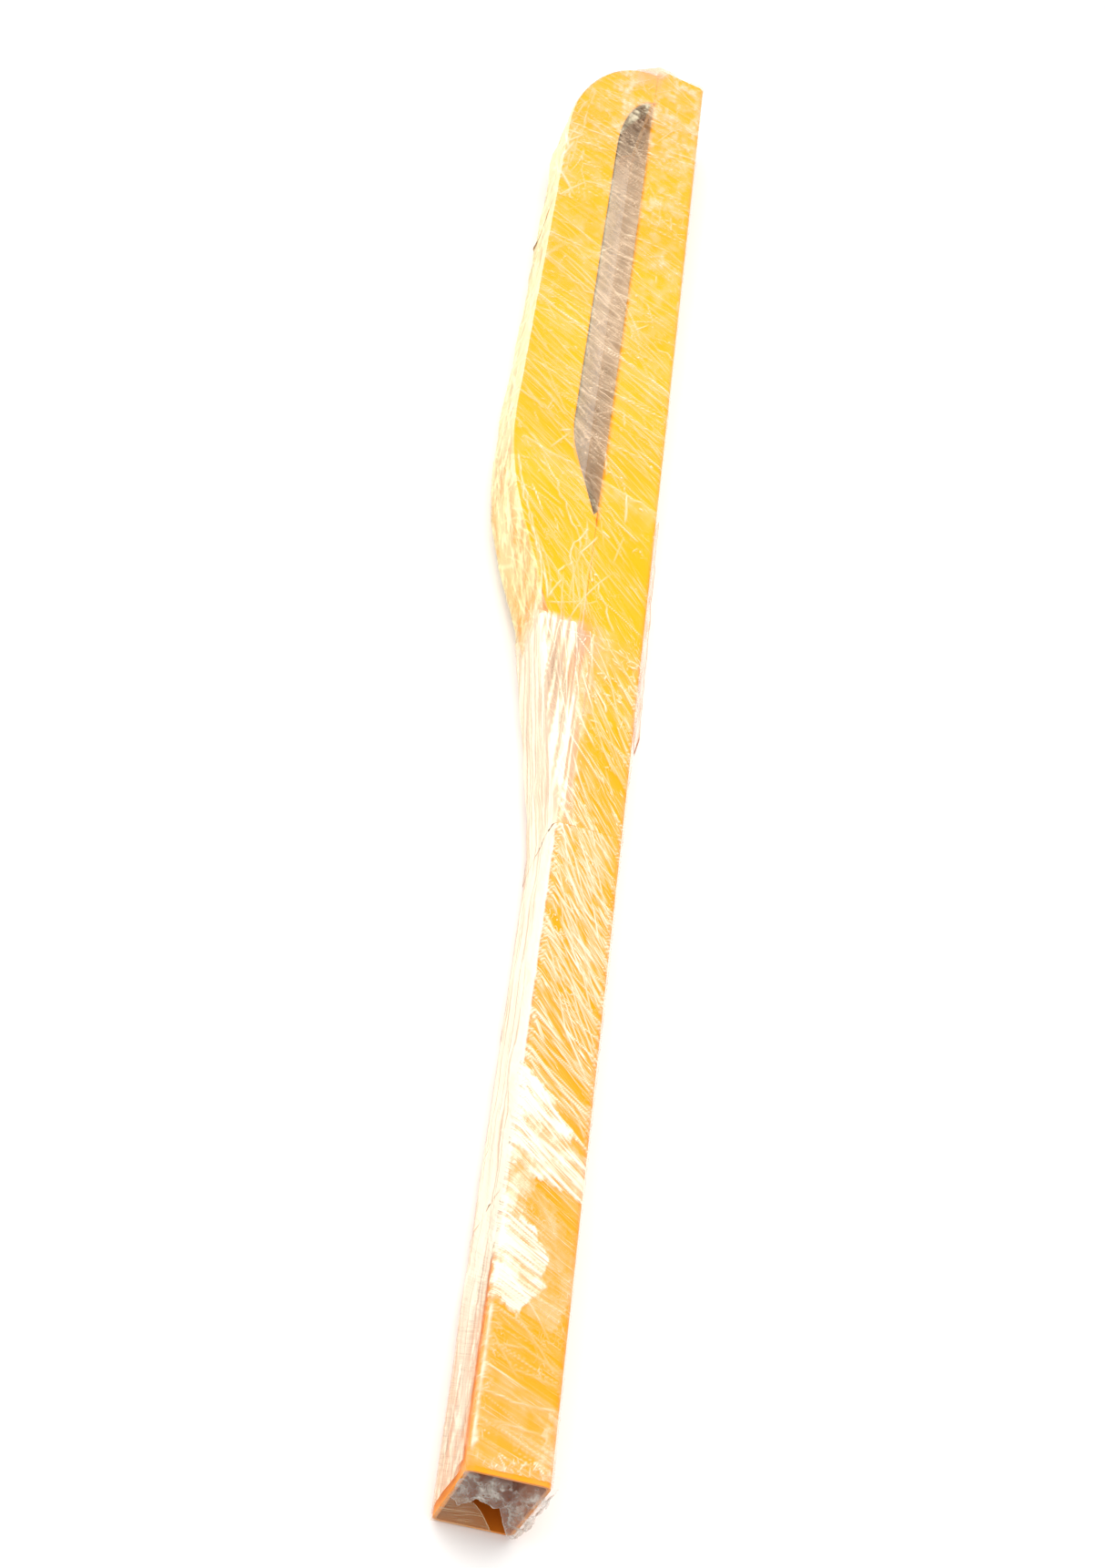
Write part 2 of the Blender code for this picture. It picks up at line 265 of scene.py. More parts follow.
@dataclass(frozen=True)
class Seam:
    """One long drawn crease or film edge between two places, with whiter film on one side, in millimetres."""

    start: Pair
    end: Pair
    width: float = 0.9
    # How white the seam is marked: partly whitened film and partly a painted glint along it.
    mark: float = 0.8
    rise: float = 0.9
    wander: float = 3.0
    milky: float = 0.0
    fade: float = 12.0
    seed: int = 71

    def add_to(self, u: Grid, v: Grid, rise: Grid, mark: Grid) -> Grid:
        """Raise and mark the film along the seam, in place.

        The distance from the straight line is shifted by slow noise; the mark is exp(-(d / width)^2) and
        the milky side fades as exp(-d / fade).

        Args:
            u: Place round the film.
            v: Place along the film.
            rise: Height over the hull, changed here.
            mark: Strength of the crease, changed here.

        Returns:
            Extra haze on the milky side.
        """
        start, end = MM * np.array(self.start), MM * np.array(self.end)
        size = float(np.linalg.norm(end - start))
        way = (end - start) / size
        t = (u - start[0]) * way[0] + (v - start[1]) * way[1]
        d = way[0] * (v - start[1]) - way[1] * (u - start[0])
        d = d + self.wander * MM * (noise(t, 0 * t, (9, 1000), self.seed) - 0.5)
        inside = smooth(t, -4 * MM, 4 * MM) * smooth(size - t, -4 * MM, 4 * MM)
        broken = 0.45 + 0.75 * noise(t, d, (6, 100), self.seed + 1)
        value = np.exp(-((d / (self.width * MM)) ** 2)) * inside * broken
        rise[:] = np.maximum(rise, value * self.rise * MM)
        mark[:] = np.maximum(mark, value * self.mark)
        return self.milky * np.exp(-np.abs(d) / (self.fade * MM)) * smooth(-d, -0.5 * MM, 0.5 * MM) * inside


@dataclass(frozen=True)
class Patch:
    """A ragged patch of whiter film, bounded by straight edges that form a convex outline, in millimetres."""

    corners: tuple[Pair, ...]
    strength: float
    soft: float = 2.0
    ragged: float = 3.0
    seed: int = 5

    def value(self, x: Grid, y: Grid) -> Grid:
        """Strength at each place: the distance inside the nearest edge, shifted by noise, made smooth.

        Args:
            x: Place round the film, in metres.
            y: Place along it, in metres.

        Returns:
            Haze from 0 to the patch's strength.
        """
        inside = np.full(x.shape, np.inf)
        ends = MM * np.array(self.corners)
        for start, end in zip(ends, np.roll(ends, -1, axis=0)):
            way = (end - start) / np.linalg.norm(end - start)
            inside = np.minimum(inside, way[0] * (y - start[1]) - way[1] * (x - start[0]))
        wobble = noise(x, y, (5, 7), self.seed) - 0.5
        wobble += 0.5 * (noise(x, y, (1.8, 2.2), self.seed + 1) - 0.5)
        return self.strength * smooth(inside + 2 * self.ragged * MM * wobble, -self.soft * MM, self.soft * MM)


class Graph:
    """Short calls for building a material's nodes."""

    def __init__(self, name: str) -> None:
        """Start an empty material with an output and a Principled shader.

        Args:
            name: Name of the material.
        """
        self.material = bpy.data.materials.new(name)
        self.material.use_nodes = True
        self.tree = self.material.node_tree
        self.shader = self.tree.nodes["Principled BSDF"]

    def node(self, kind: str, inputs: dict[str | int, Value] | None = None, **settings: object) -> bpy.types.Node:
        """Add a node.

        Args:
            kind: Node type without its ShaderNode prefix.
            inputs: Socket name or number to a value or another node's output.
            **settings: Properties of the node.

        Returns:
            The new node.
        """
        made = self.tree.nodes.new("ShaderNode" + kind)
        for key, value in settings.items():
            setattr(made, key, value)
        for key, value in (inputs or {}).items():
            self.join(value, made.inputs[key])
        return made

    def join(self, value: Value, socket: Socket) -> None:
        """Link an output to a socket, or set the socket's number.

        Args:
            value: The output or the number.
            socket: The socket that takes it.
        """
        if isinstance(value, Socket):
            self.tree.links.new(value, socket)
        else:
            socket.default_value = value

    def math(self, operation: str, *values: Value, clamp: bool = False) -> Socket:
        """The result of a Math node, kept from 0 to 1 if clamped."""
        made = self.node("Math", dict(enumerate(values)), operation=operation, use_clamp=clamp)
        return made.outputs[0]

    def plus(self, first: Value, second: Value, clamp: bool = False) -> Socket:
        """The sum of two values."""
        return self.math("ADD", first, second, clamp=clamp)

    def times(self, first: Value, second: Value, clamp: bool = False) -> Socket:
        """The product of two values."""
        return self.math("MULTIPLY", first, second, clamp=clamp)

    def rest(self, value: Value, clamp: bool = False) -> Socket:
        """What a value leaves of 1."""
        return self.math("SUBTRACT", 1.0, value, clamp=clamp)

    def most(self, first: Value, second: Value) -> Socket:
        """The larger of two values."""
        return self.math("MAXIMUM", first, second)

    def ramp(self, value: Value, low: float, high: float, start: float = 0.0, end: float = 1.0) -> Socket:
        """A smooth step of a value.

        Args:
            value: What is stepped.
            low: Value that gives start.
            high: Value that gives end.
            start: Result at low.
            end: Result at high.

        Returns:
            The stepped value.
        """
        inputs = {"Value": value, "From Min": low, "From Max": high, "To Min": start, "To Max": end}
        return self.node("MapRange", inputs, interpolation_type="SMOOTHSTEP").outputs[0]

    def noise(self, vector: Socket, scale: float | Triple, detail: float = 3.0, rough: float = 0.5) -> Socket:
        """The value of a noise texture.

        Args:
            vector: Where the texture is read.
            scale: One scale, or one for each axis.
            detail: Number of finer layers.
            rough: Strength of the finer layers.

        Returns:
            The value, from 0 to 1.
        """
        if isinstance(scale, tuple):
            vector = self.node("Mapping", {"Vector": vector, "Scale": scale}, vector_type="POINT").outputs[0]
            scale = 1.0
        inputs = {"Vector": vector, "Scale": scale, "Detail": detail, "Roughness": rough}
        return self.node("TexNoise", inputs).outputs[0]

    def lines(self, vector: Socket, scale: Triple, width: float) -> Socket:
        """Thin lines where a drawn-out noise crosses its middle value.

        Args:
            vector: Where the noise is read.
            scale: Its scale on each axis.
            width: How far from the middle value a line reaches.

        Returns:
            1 on a line, fading to 0.
        """
        value = self.noise(vector, scale, 2.0, 0.6)
        away = self.math("ABSOLUTE", self.math("SUBTRACT", value, 0.5))
        return self.ramp(away, 0.0, width, 1.0, 0.0)

    def blend(self, share: Value, first: Value, second: Value) -> Socket:
        """Mix two colours.

        Args:
            share: How much of the second colour there is.
            first: A colour, or another node's output.
            second: The same.

        Returns:
            The mixed colour.
        """
        made = self.node("Mix", data_type="RGBA", blend_type="MIX")
        self.join(share, made.inputs[0])
        for value, socket in ((first, made.inputs[6]), (second, made.inputs[7])):
            self.join((*value, 1.0) if isinstance(value, tuple) else value, socket)
        return made.outputs[2]

    def set(self, **values: Value) -> None:
        """Set the shader's sockets; an underscore in a name stands for a space."""
        for key, value in values.items():
            self.join(value, self.shader.inputs[key.replace("_", " ")])

    def bump(self, height: Socket, strength: float, distance: float) -> None:
        """Give the shader a bump from a height."""
        inputs = {"Height": height, "Strength": strength, "Distance": distance}
        self.set(Normal=self.node("Bump", inputs).outputs[0])


@dataclass(frozen=True)
class PaintFinish:
    """Glossy yellow-orange paint on steel, with painted shade: darker and more orange towards the foot, and
    darkened inside the tube and in the slot.
    """

    name: str = "paint"
    # Painted light: the foot tone is darker and more orange as if less lit, and the head tone is yellower as if
    # better lit.
    shaded_foot_tone: Triple = (0.93, 0.310, 0.001)
    lit_head_tone: Triple = (0.95, 0.392, 0.001)
    # Painted shade of the deep slot, laid on the post's wall there and over the slot's lining strip.
    slot_shade_tone: Triple = (0.120, 0.045, 0.018)
    # Painted shade of the inside of the tube.
    inside_shade_tone: Triple = (0.62, 0.17, 0.012)
    wall: float = 3.0 * MM
    peel: float = 0.10
    ripple: float = 0.0
    # Least share of the slot's painted shade, laid in patches over a whole piece such as the slot's lining.
    painted_shade: float = 0.0
    # Whether to lay painted shade inside the tube and on its wall in the slot.
    hollow: bool = False

    def make(self) -> Material:
        """Build the material on Object coordinates.

        Returns:
            The paint material.
        """
        graph = Graph(self.name)
        place = graph.node("TexCoord").outputs["Object"]
        apart = graph.node("SeparateXYZ", {"Vector": place}).outputs
        # Painted light: the tone runs from the shaded foot to the better-lit head.
        along = graph.ramp(apart["Y"], ORIGIN[1] + 0.25, ORIGIN[1] + 1.0)
        tone = graph.blend(along, self.shaded_foot_tone, self.lit_head_tone)
        cloud = graph.ramp(graph.noise(place, 9.0, 4.0), 0.35, 0.70)
        tone = graph.blend(graph.times(cloud, 0.16), tone, (0.80, 0.20, 0.001))
        speck = graph.ramp(graph.noise(place, 420.0, 2.0), 0.74, 0.80)
        tone = graph.blend(graph.times(speck, 0.5), tone, (0.55, 0.16, 0.004))
        scuff = graph.ramp(graph.noise(place, (60.0, 9.0, 60.0), 5.0, 0.7), 0.66, 0.74)
        tone = graph.blend(graph.times(scuff, 0.25), tone, (0.60, 0.22, 0.02))
        # Painted shade inside the tube and on the post's wall in the slot.
        if self.hollow:
            inside, shade = self.painted_shade_shares(graph, apart)
            tone = graph.blend(inside, tone, self.inside_shade_tone)
            tone = graph.blend(shade, tone, self.slot_shade_tone)
        # Painted shade in patches over the whole piece.
        if self.painted_shade:
            patchy = graph.ramp(graph.noise(place, 30.0, 3.0), 0.3, 0.7, self.painted_shade, 1.0)
            tone = graph.blend(patchy, tone, self.slot_shade_tone)
        graph.set(Base_Color=tone, IOR=1.5, Specular_IOR_Level=0.18)
        graph.set(Roughness=graph.plus(graph.times(cloud, 0.12), 0.30))
        peel = graph.times(graph.noise(place, 260.0, 2.0), self.peel)
        if self.ripple:
            inputs = {"Vector": place, "Scale": 95.0, "Distortion": 4.0}
            wave = graph.node("TexWave", inputs, bands_direction="Y").outputs[1]
            peel = graph.plus(peel, graph.times(wave, self.ripple))
        graph.bump(peel, 0.5, 0.4 * MM)
        return graph.material

    def painted_shade_shares(self, graph: Graph, apart: bpy.types.bpy_prop_collection) -> tuple[Socket, Socket]:
        """Find where painted shade darkens the paint: inside the tube, and on the post's wall in the slot, more
        strongly lower down.

        Args:
            graph: The material's nodes.
            apart: Outputs of the separated Object coordinates.

        Returns:
            Share of painted shade inside the tube, and share of painted shade on the post's wall in the slot.
        """
        hull = Hull()
        x = graph.math("ABSOLUTE", graph.math("SUBTRACT", apart["X"], ORIGIN[0] + hull.width / 2))
        z = graph.math("ABSOLUTE", graph.math("SUBTRACT", apart["Z"], hull.depth / 2))
        depth_x = graph.math("SUBTRACT", hull.width / 2, x)
        depth_z = graph.math("SUBTRACT", hull.depth / 2, z)
        inside = graph.ramp(graph.math("MINIMUM", depth_x, depth_z), 0.5 * self.wall, 0.9 * self.wall)
        low, high = hull.slot[1:]
        above = graph.ramp(apart["Y"], ORIGIN[1] + low, ORIGIN[1] + low + 0.02)
        below = graph.ramp(apart["Y"], ORIGIN[1] + high - 0.03, ORIGIN[1] + high, 1.0, 0.0)
        in_slot = graph.times(above, below)
        on_wall = graph.ramp(apart["X"], ORIGIN[0] - 0.5 * MM, ORIGIN[0] + 0.5 * MM, 1.0, 0.0)
        # The painted shade is stronger lower down in the slot.
        deep = graph.ramp(apart["Z"], hull.depth - 0.030, hull.depth - 0.002, 0.95, 0.55)
        shade = graph.times(graph.times(in_slot, on_wall), deep)
        return inside, shade


@dataclass(frozen=True)
class FilmFinish:
    """Clear stretch film: milky where it is layered or crazed, with white pleats, partly whitened film and partly
    painted glints, and fine drawn streaks.
    """

    name: str = "stretch_film"
    tint: Triple = (0.97, 0.88, 0.62)
    # Brown warm tone: painted shade where the film crosses the slot, in the neck's strands and down the left
    # wall; also the warmer film at the crown's bend.
    warm: Triple = (0.84, 0.60, 0.40)
    # Painted shade of folds, blended in where the warm value passes 1.
    deep: Triple = (0.50, 0.34, 0.24)
    gold: Triple = (0.95, 0.86, 0.38)
    milk: Triple = (0.93, 0.87, 0.67)
    clear: float = 0.004
    # Opacity that a full pleat mark adds: white crease lines, partly whitened film and partly painted glints.
    pleat: float = 0.85
    streak: float = 0.55
    cloud: float = 0.8
    tuck: float = 0.30

    def make(self) -> Material:
        """Build the material on the film's own maps and its haze, pleat, streak, warm and torn values.

        A negative warm value stands for golden film, and one above 1 for a shadowed fold.

        Returns:
            The film material.
        """
        graph = Graph(self.name)
        drawn = graph.node("UVMap", uv_map="Grain").outputs[0]
        flat = graph.node("UVMap", uv_map="Flat").outputs[0]
        names = ("haze", "pleat", "streak", "warm", "torn")
        read = [graph.node("Attribute", attribute_name=key).outputs["Fac"] for key in names]
        haze, pleat, streak, warm, torn = read
        fine = graph.lines(drawn, (420.0, 16.0, 1.0), 0.022)
        coarse = graph.lines(drawn, (150.0, 7.0, 1.0), 0.011)
        gaps = graph.ramp(graph.noise(drawn, (60.0, 14.0, 1.0)), 0.42, 0.68)
        lines = graph.most(graph.times(fine, gaps), graph.times(coarse, 0.8))
        bent = graph.noise(flat, 30.0, 1.0)
        web = graph.lines(flat, (95.0, 60.0, 1.0), 0.012)
        lines = graph.most(lines, graph.times(web, graph.ramp(bent, 0.48, 0.62, 0.0, 0.75)))
        lines = graph.times(graph.times(lines, streak), self.streak)
        cloud = graph.noise(flat, (70.0, 38.0, 1.0), 5.0, 0.6)
        cloud = graph.ramp(cloud, 0.30, 0.72, 1.0 - self.cloud, 1.0 + 0.6 * self.cloud)
        even = graph.times(warm, 0.8, clamp=True)
        cloud = graph.plus(graph.times(cloud, graph.rest(even)), even)
        opaque = graph.ramp(haze, 0.45, 0.75)
        milk = graph.most(graph.times(haze, cloud), graph.times(opaque, haze))
        split = graph.ramp(graph.noise(drawn, (330.0, 30.0, 1.0), 3.0, 0.65), 0.40, 0.52, 0.45, 1.0)
        mended = graph.ramp(graph.noise(flat, 45.0, 2.0), 0.42, 0.62, 0.0, 0.6)
        split = graph.plus(split, mended, clamp=True)
        tuck = graph.rest(graph.times(graph.lines(drawn, (130.0, 9.0, 1.0), 0.045), self.tuck))
        thick = graph.times(graph.ramp(haze, 0.30, 0.50), torn)
        left = graph.plus(graph.rest(thick), graph.times(thick, graph.times(split, tuck)))
        # Pleat marks raise the opacity: partly whitened film, partly painted glints on the crests.
        ridge = graph.times(pleat, self.pleat)
        alpha = graph.plus(graph.times(milk, left), graph.most(lines, ridge))
        alpha = graph.math("MINIMUM", graph.plus(alpha, self.clear), 0.97)
        warmth = graph.ramp(graph.noise(flat, (24.0, 13.0, 1.0)), 0.40, 0.75)
        tone = graph.blend(graph.most(graph.times(warmth, 0.2), warm), self.tint, self.warm)
        # Warm values above 1 blend in the painted fold shade.
        tone = graph.blend(graph.math("SUBTRACT", warm, 1.0, clamp=True), tone, self.deep)
        tone = graph.blend(graph.times(warm, -1.0, clamp=True), tone, self.gold)
        white = graph.times(opaque, graph.rest(graph.math("ABSOLUTE", warm), clamp=True))
        # Pleat marks also whiten the colour: partly whitened film, partly painted glints.
        white = graph.most(white, graph.ramp(pleat, 0.3, 0.7))
        graph.set(Base_Color=graph.blend(white, tone, self.milk))
        graph.set(Alpha=alpha, IOR=1.5)
        graph.set(Roughness=graph.ramp(haze, 0.1, 0.8, 0.14, 0.42))
        height = graph.times(graph.plus(graph.times(fine, 0.5), coarse), streak, clamp=True)
        graph.bump(graph.plus(height, cloud), 0.28, 0.5 * MM)
        return graph.material


@dataclass(frozen=True)
class FloorFinish:
    """Matt pale card with the faintest fleck."""

    name: str = "floor_card"
    tone: Triple = (0.93, 0.925, 0.92)

    def make(self) -> Material:
        """Build the floor material on Object coordinates.

        Returns:
            The floor material.
        """
        graph = Graph(self.name)
        place = graph.node("TexCoord").outputs["Object"]
        fleck = graph.ramp(graph.noise(place, 40.0, 6.0, 0.7), 0.3, 0.8)
        graph.set(Base_Color=graph.blend(graph.times(fleck, 0.03), self.tone, (0.8, 0.8, 0.8)))
        graph.set(Roughness=0.85)
        return graph.material


def film_values(
    haze: Grid, pleat: Grid | float, streak: Grid | float, warm: Grid | float, torn: Grid | float
) -> dict[str, Grid]:
    """Name the numbers that the film finish reads, each as a full grid like the haze."""
    named = {"haze": haze, "pleat": pleat, "streak": streak, "warm": warm, "torn": torn}
    return {key: np.broadcast_to(numbers, haze.shape) for key, numbers in named.items()}


def film_maps(across: Grid, along: Grid, flat: Grid) -> dict[str, Grid]:
    """The film's two maps: Grain reads (across, along) and Flat reads (flat, along)."""
    return {"Grain": np.stack([across, along], -1), "Flat": np.stack([flat, along], -1)}


def grid_faces(rows: int, columns: int, kept: int) -> Grid:
    """Corners of a grid's quads, anticlockwise from (i, j).

    Args:
        rows: Number of rows.
        columns: Number of columns, the repeated one of a closed grid included.
        kept: Number of different columns; the next column wraps round at it.

    Returns:
        Vertex numbers, rows - 1 by columns - 1 by 4.
    """
    i, j = np.meshgrid(np.arange(rows - 1), np.arange(columns - 1), indexing="ij")
    after = (j + 1) % kept
    return np.stack([i * kept + j, i * kept + after, (i + 1) * kept + after, (i + 1) * kept + j], -1)


def add_grid(
    name: str,
    points: Grid,
    maps: dict[str, Grid],
    values: dict[str, Grid],
    material: Material,
    closed: bool = False,
    pole: Grid | None = None,
) -> Thing:
    """Make one mesh from a grid of points, rows by columns.

    Args:
        name: Name of the piece.
        points: Places in the post's frame, rows by columns by 3.
        maps: UV map name to its (rows, columns, 2) coordinates.
        values: Attribute name to its (rows, columns) numbers.
        material: The piece's finish.
        closed: Whether the last column is the first one again.
        pole: A point that closes the last row, if any.

    Returns:
        The new object.
    """
    rows, columns = points.shape[:2]
    kept = columns - 1 if closed else columns
    vertices = points[:, :kept].reshape(-1, 3) + ORIGIN
    loops = grid_faces(rows, columns, kept).reshape(-1)
    sources = grid_faces(rows, columns, columns).reshape(-1)
    counts = np.full(len(loops) // 4, 4)
    extra = 0
    if pole is not None:
        last = np.arange(columns - 1)
        fan = np.stack([last, (last + 1) % kept, last], -1) + (rows - 1) * kept
        fan[:, 2] = len(vertices)
        origin = np.stack([last, last + 1, last], -1) + (rows - 1) * columns
        vertices = np.concatenate([vertices, pole[None] + ORIGIN])
        loops = np.concatenate([loops, fan.reshape(-1)])
        sources = np.concatenate([sources, origin.reshape(-1)])
        counts = np.concatenate([counts, np.full(len(last), 3)])
        extra = 1
    mesh = bpy.data.meshes.new(name)
    mesh.vertices.add(len(vertices))
    mesh.vertices.foreach_set("co", vertices.astype(np.float32).reshape(-1))
    mesh.loops.add(len(loops))
    mesh.loops.foreach_set("vertex_index", loops.astype(np.int32))
    mesh.polygons.add(len(counts))
    starts = np.concatenate([[0], np.cumsum(counts)[:-1]])
    mesh.polygons.foreach_set("loop_start", starts.astype(np.int32))
    mesh.update(calc_edges=True)
    for key, coords in maps.items():
        layer = mesh.uv_layers.new(name=key)
        layer.data.foreach_set("uv", coords.reshape(-1, 2)[sources].astype(np.float32).reshape(-1))
    for key, numbers in values.items():
        layer = mesh.attributes.new(key, "FLOAT", "POINT")
        kept_numbers = numbers[:, :kept].reshape(-1)
        kept_numbers = np.concatenate([kept_numbers, np.full(extra, numbers[-1].mean())])
        layer.data.foreach_set("value", kept_numbers.astype(np.float32))
    mesh.shade_smooth()
    mesh.materials.append(material)
    thing = bpy.data.objects.new(name, mesh)
    bpy.context.scene.collection.objects.link(thing)
    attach(thing, "root")
    return thing


# The film's haze at places along the post: on its front, its left wall, its right wall and across the slot.
HAZE_PLACES = (0, 0.05, 0.11, 0.2, 0.3, 0.45, 0.57, 0.68, 0.79, 0.8, 0.9, 1.05, 1.2, 1.35, 1.55, 1.72, 1.79)
FRONT_HAZE = (
    *(0.06, 0.06, 0.04, 0.04, 0.05, 0.085, 0.08, 0.04, 0.02),
    *(0.01, 0.015, 0.03, 0.04, 0.08, 0.12, 0.17, 0.26),
)
LEFT_HAZE = (0.6, 0.66, 0.74, 0.86, 0.9, 0.9, 0.88, 0.86, 0.86, 0.54, 0.6, 0.68, 0.74, 0.72, 0.74, 0.64, 0.54)
RIGHT_HAZE = (0.3, 0.12, 0.04, 0.03, 0.04, 0.06, 0.08, 0.07, 0.06, 0.06, 0.06, 0.07, 0.08, 0.09, 0.1, 0.14, 0.2)
SLOT_PLACES = (0.937, 0.97, 1.00, 1.10, 1.30, 1.55, 1.64, 1.70)
SLOT_HAZE = (0.06, 0.08, 0.17, 0.23, 0.42, 0.36, 0.12, 0.04)
# How strongly the film is drawn out in streaks along the post.
STREAK_PLACES = (0.0, 0.10, 0.20, 0.32, 0.45, 0.58, 0.70, 0.82, 0.95, 1.10, 1.30, 1.50, 1.79)
STREAK_VALUES = (0.80, 0.75, 0.65, 1.45, 1.65, 1.40, 0.90, 0.62, 0.60, 0.70, 0.65, 0.60, 0.55)
# Below UNDERSIDE the film lies under the post; above FRONT it is on the front face.
UNDERSIDE = 1 * MM
FRONT = 90 * MM


@dataclass
class FilmSleeve:
    """A length of film wrapped once round the post and its bow, open at both ends or closed at the head."""

    name: str
    start: float
    end: float
    stands_for: tuple[str, ...]
    hull: Hull = field(default_factory=Hull)
    lift: float = 0.9 * MM
    row_step: float = 1.6 * MM
    end_slope: float = 0.0
    closed_head: bool = False
    loose: float = 2.5 * MM
    pleats: tuple[Pleats, ...] = ()
    patches: tuple[Patch, ...] = ()
    seams: tuple[Seam, ...] = ()
    ragged: float = 0.0

    # Points on each arc, half the underside, the slanted rear, each wall and the front; rings of the end.
    ARCS = 6
    UNDER = 7
    SLANT = 12
    SIDE = 58
    TOP = 104
    RINGS = 22
    # Rounding of the post's own corners, and of the bow's once the bow has grown out of the wall.
    ROUND = 6.0 * MM
    BOW_ROUND = 2.5 * MM

    def section(self, y: Grid) -> tuple[Grid, ...]:
        """The hull's section as rows of points and normals, for y given in rows by columns.

        Four rounded corners and the bow's rear edge are arcs (centre + radius (cos a, sin a)); straight
        walls join the end of one arc to the start of the next. The loop runs from the middle of the
        underside, up the left wall, over the top and down the right wall.

        Args:
            y: Place along the post of each point.

        Returns:
            x, z, normal x, normal z and the unrolled place round the section, each rows by columns.
        """
        hull = self.hull
        left = hull.left(y)
        radius = self.ROUND - (self.ROUND - self.BOW_ROUND) * smooth(y, 0.60, 0.85)
        tilt = np.arctan2(-left, hull.rear)
        share = np.linspace(0, 1, self.ARCS)
        spread = 0.5 - share
        columns = []
        wide, deep = hull.width, hull.depth
        half = math.pi / 2

        def arc(
            at: slice, centre_x: Grid, centre_z: Grid, size: Grid, first: Grid, last: Grid, smear: float = 0.0
        ) -> None:
            """Add the columns of an arc, at centre + size (cos a, sin a).

            Args:
                at: The arc's columns.
                centre_x: x of its centre.
                centre_z: z of its centre.
                size: Its radius.
                first: Its first angle.
                last: Its last angle.
                smear: How far it is drawn out in z.
            """
            angle = first[:, at] + share * (last[:, at] - first[:, at])
            on_x = centre_x[:, at] + size[:, at] * np.cos(angle)
            on_z = centre_z[:, at] + size[:, at] * np.sin(angle)
            columns.append((on_x, on_z + smear * spread, angle))

        counts = [self.UNDER, self.ARCS, self.SLANT, self.ARCS, self.SIDE, self.ARCS, self.TOP]
        counts += [self.ARCS, self.SIDE, self.ARCS, self.UNDER]
        edges = np.concatenate([[0], np.cumsum(counts)])
        spans = [slice(a, b) for a, b in zip(edges, edges[1:])]
        flat = np.zeros_like(y)
        bigs = flat + self.ROUND
        arc(spans[1], bigs, bigs, bigs, flat + 3 * half, flat + 2 * half + tilt)
        arc(spans[3], left + radius, hull.rear + radius, radius, flat + 2 * half + tilt, flat + 2 * half, -4 * MM)
        arc(spans[5], left + radius, deep - radius, radius, flat + 2 * half, flat + half)
        arc(spans[7], wide - bigs, deep - bigs, bigs, flat + half, flat)
        arc(spans[9], wide - bigs, bigs, bigs, flat, flat - half)
        middle = flat[:, :1] + wide / 2
        bottom = (middle, flat[:, :1], flat[:, :1] + 3 * half)
        stops = [bottom, *columns, (middle, flat[:, :1], flat[:, :1] - half)]
        parts = []
        for k, (before, after) in enumerate(zip(stops, stops[1:])):
            first, last = k == 0, k == len(stops) - 2
            t = np.linspace(0, 1, counts[2 * k] + 2 - first - last)
            t = t[0 if first else 1 : None if last else -1]
            parts.append(tuple(a[:, -1:] + t * (b[:, :1] - a[:, -1:]) for a, b in zip(before, after)))
            if k < len(columns):
                parts.append(after)
        x, z, angle = (np.concatenate([part[n] for part in parts], axis=1) for n in range(3))
        steps = np.hypot(np.diff(x, axis=1), np.diff(z, axis=1))
        around = np.concatenate([flat[:, :1], np.cumsum(steps, axis=1)], axis=1)
        top_end = spans[6].stop - 1
        around += x[:, top_end : top_end + 1] - around[:, top_end : top_end + 1]
        return x, z, np.cos(angle), np.sin(angle), around

    def rows(self) -> Grid:
        """Places of the rows along the post, closer together over the crown.

        Returns:
            y of each row.
        """
        count = int((self.end - self.start) / self.row_step) + 2
        share = np.linspace(0, 1, count)
        if self.closed_head:
            share = 1 - (1 - share) ** 1.5
        return self.start + (self.end - self.start) * share

    def places(self) -> Grid:
        """y of each point, with a slanted or ragged upper end.

        A row's y is its place plus the end slope times (x - half width) and the ragged noise, which both
        grow towards the upper end, minus the head's own slant (drop times x / width) over the crown.

        Returns:
            y, rows by columns.
        """
        rows = self.rows()[:, None]
        plain, _, _, _, around = self.section(np.zeros((1, self.columns())))
        x = np.clip(plain, 0, self.hull.width)
        share = (rows - self.start) / (self.end - self.start)
        shift = (x - self.hull.width / 2) * self.end_slope * share**3
        if self.ragged:
            rough = noise(around, 0 * x, (7, 1000), 61) - 0.5
            rough += 0.4 * (noise(2.7 * plain, plain, (7, 1000), 62) - 0.5)
            shift = shift + self.ragged * rough * share**8
        slant = self.hull.drop * x / self.hull.width * smooth(rows, 1.60, self.hull.head)
        return rows + shift - slant

    def columns(self) -> int:
        """Number of points round the sleeve."""
        return 2 * self.UNDER + 5 * self.ARCS + self.SLANT + 2 * self.SIDE + self.TOP

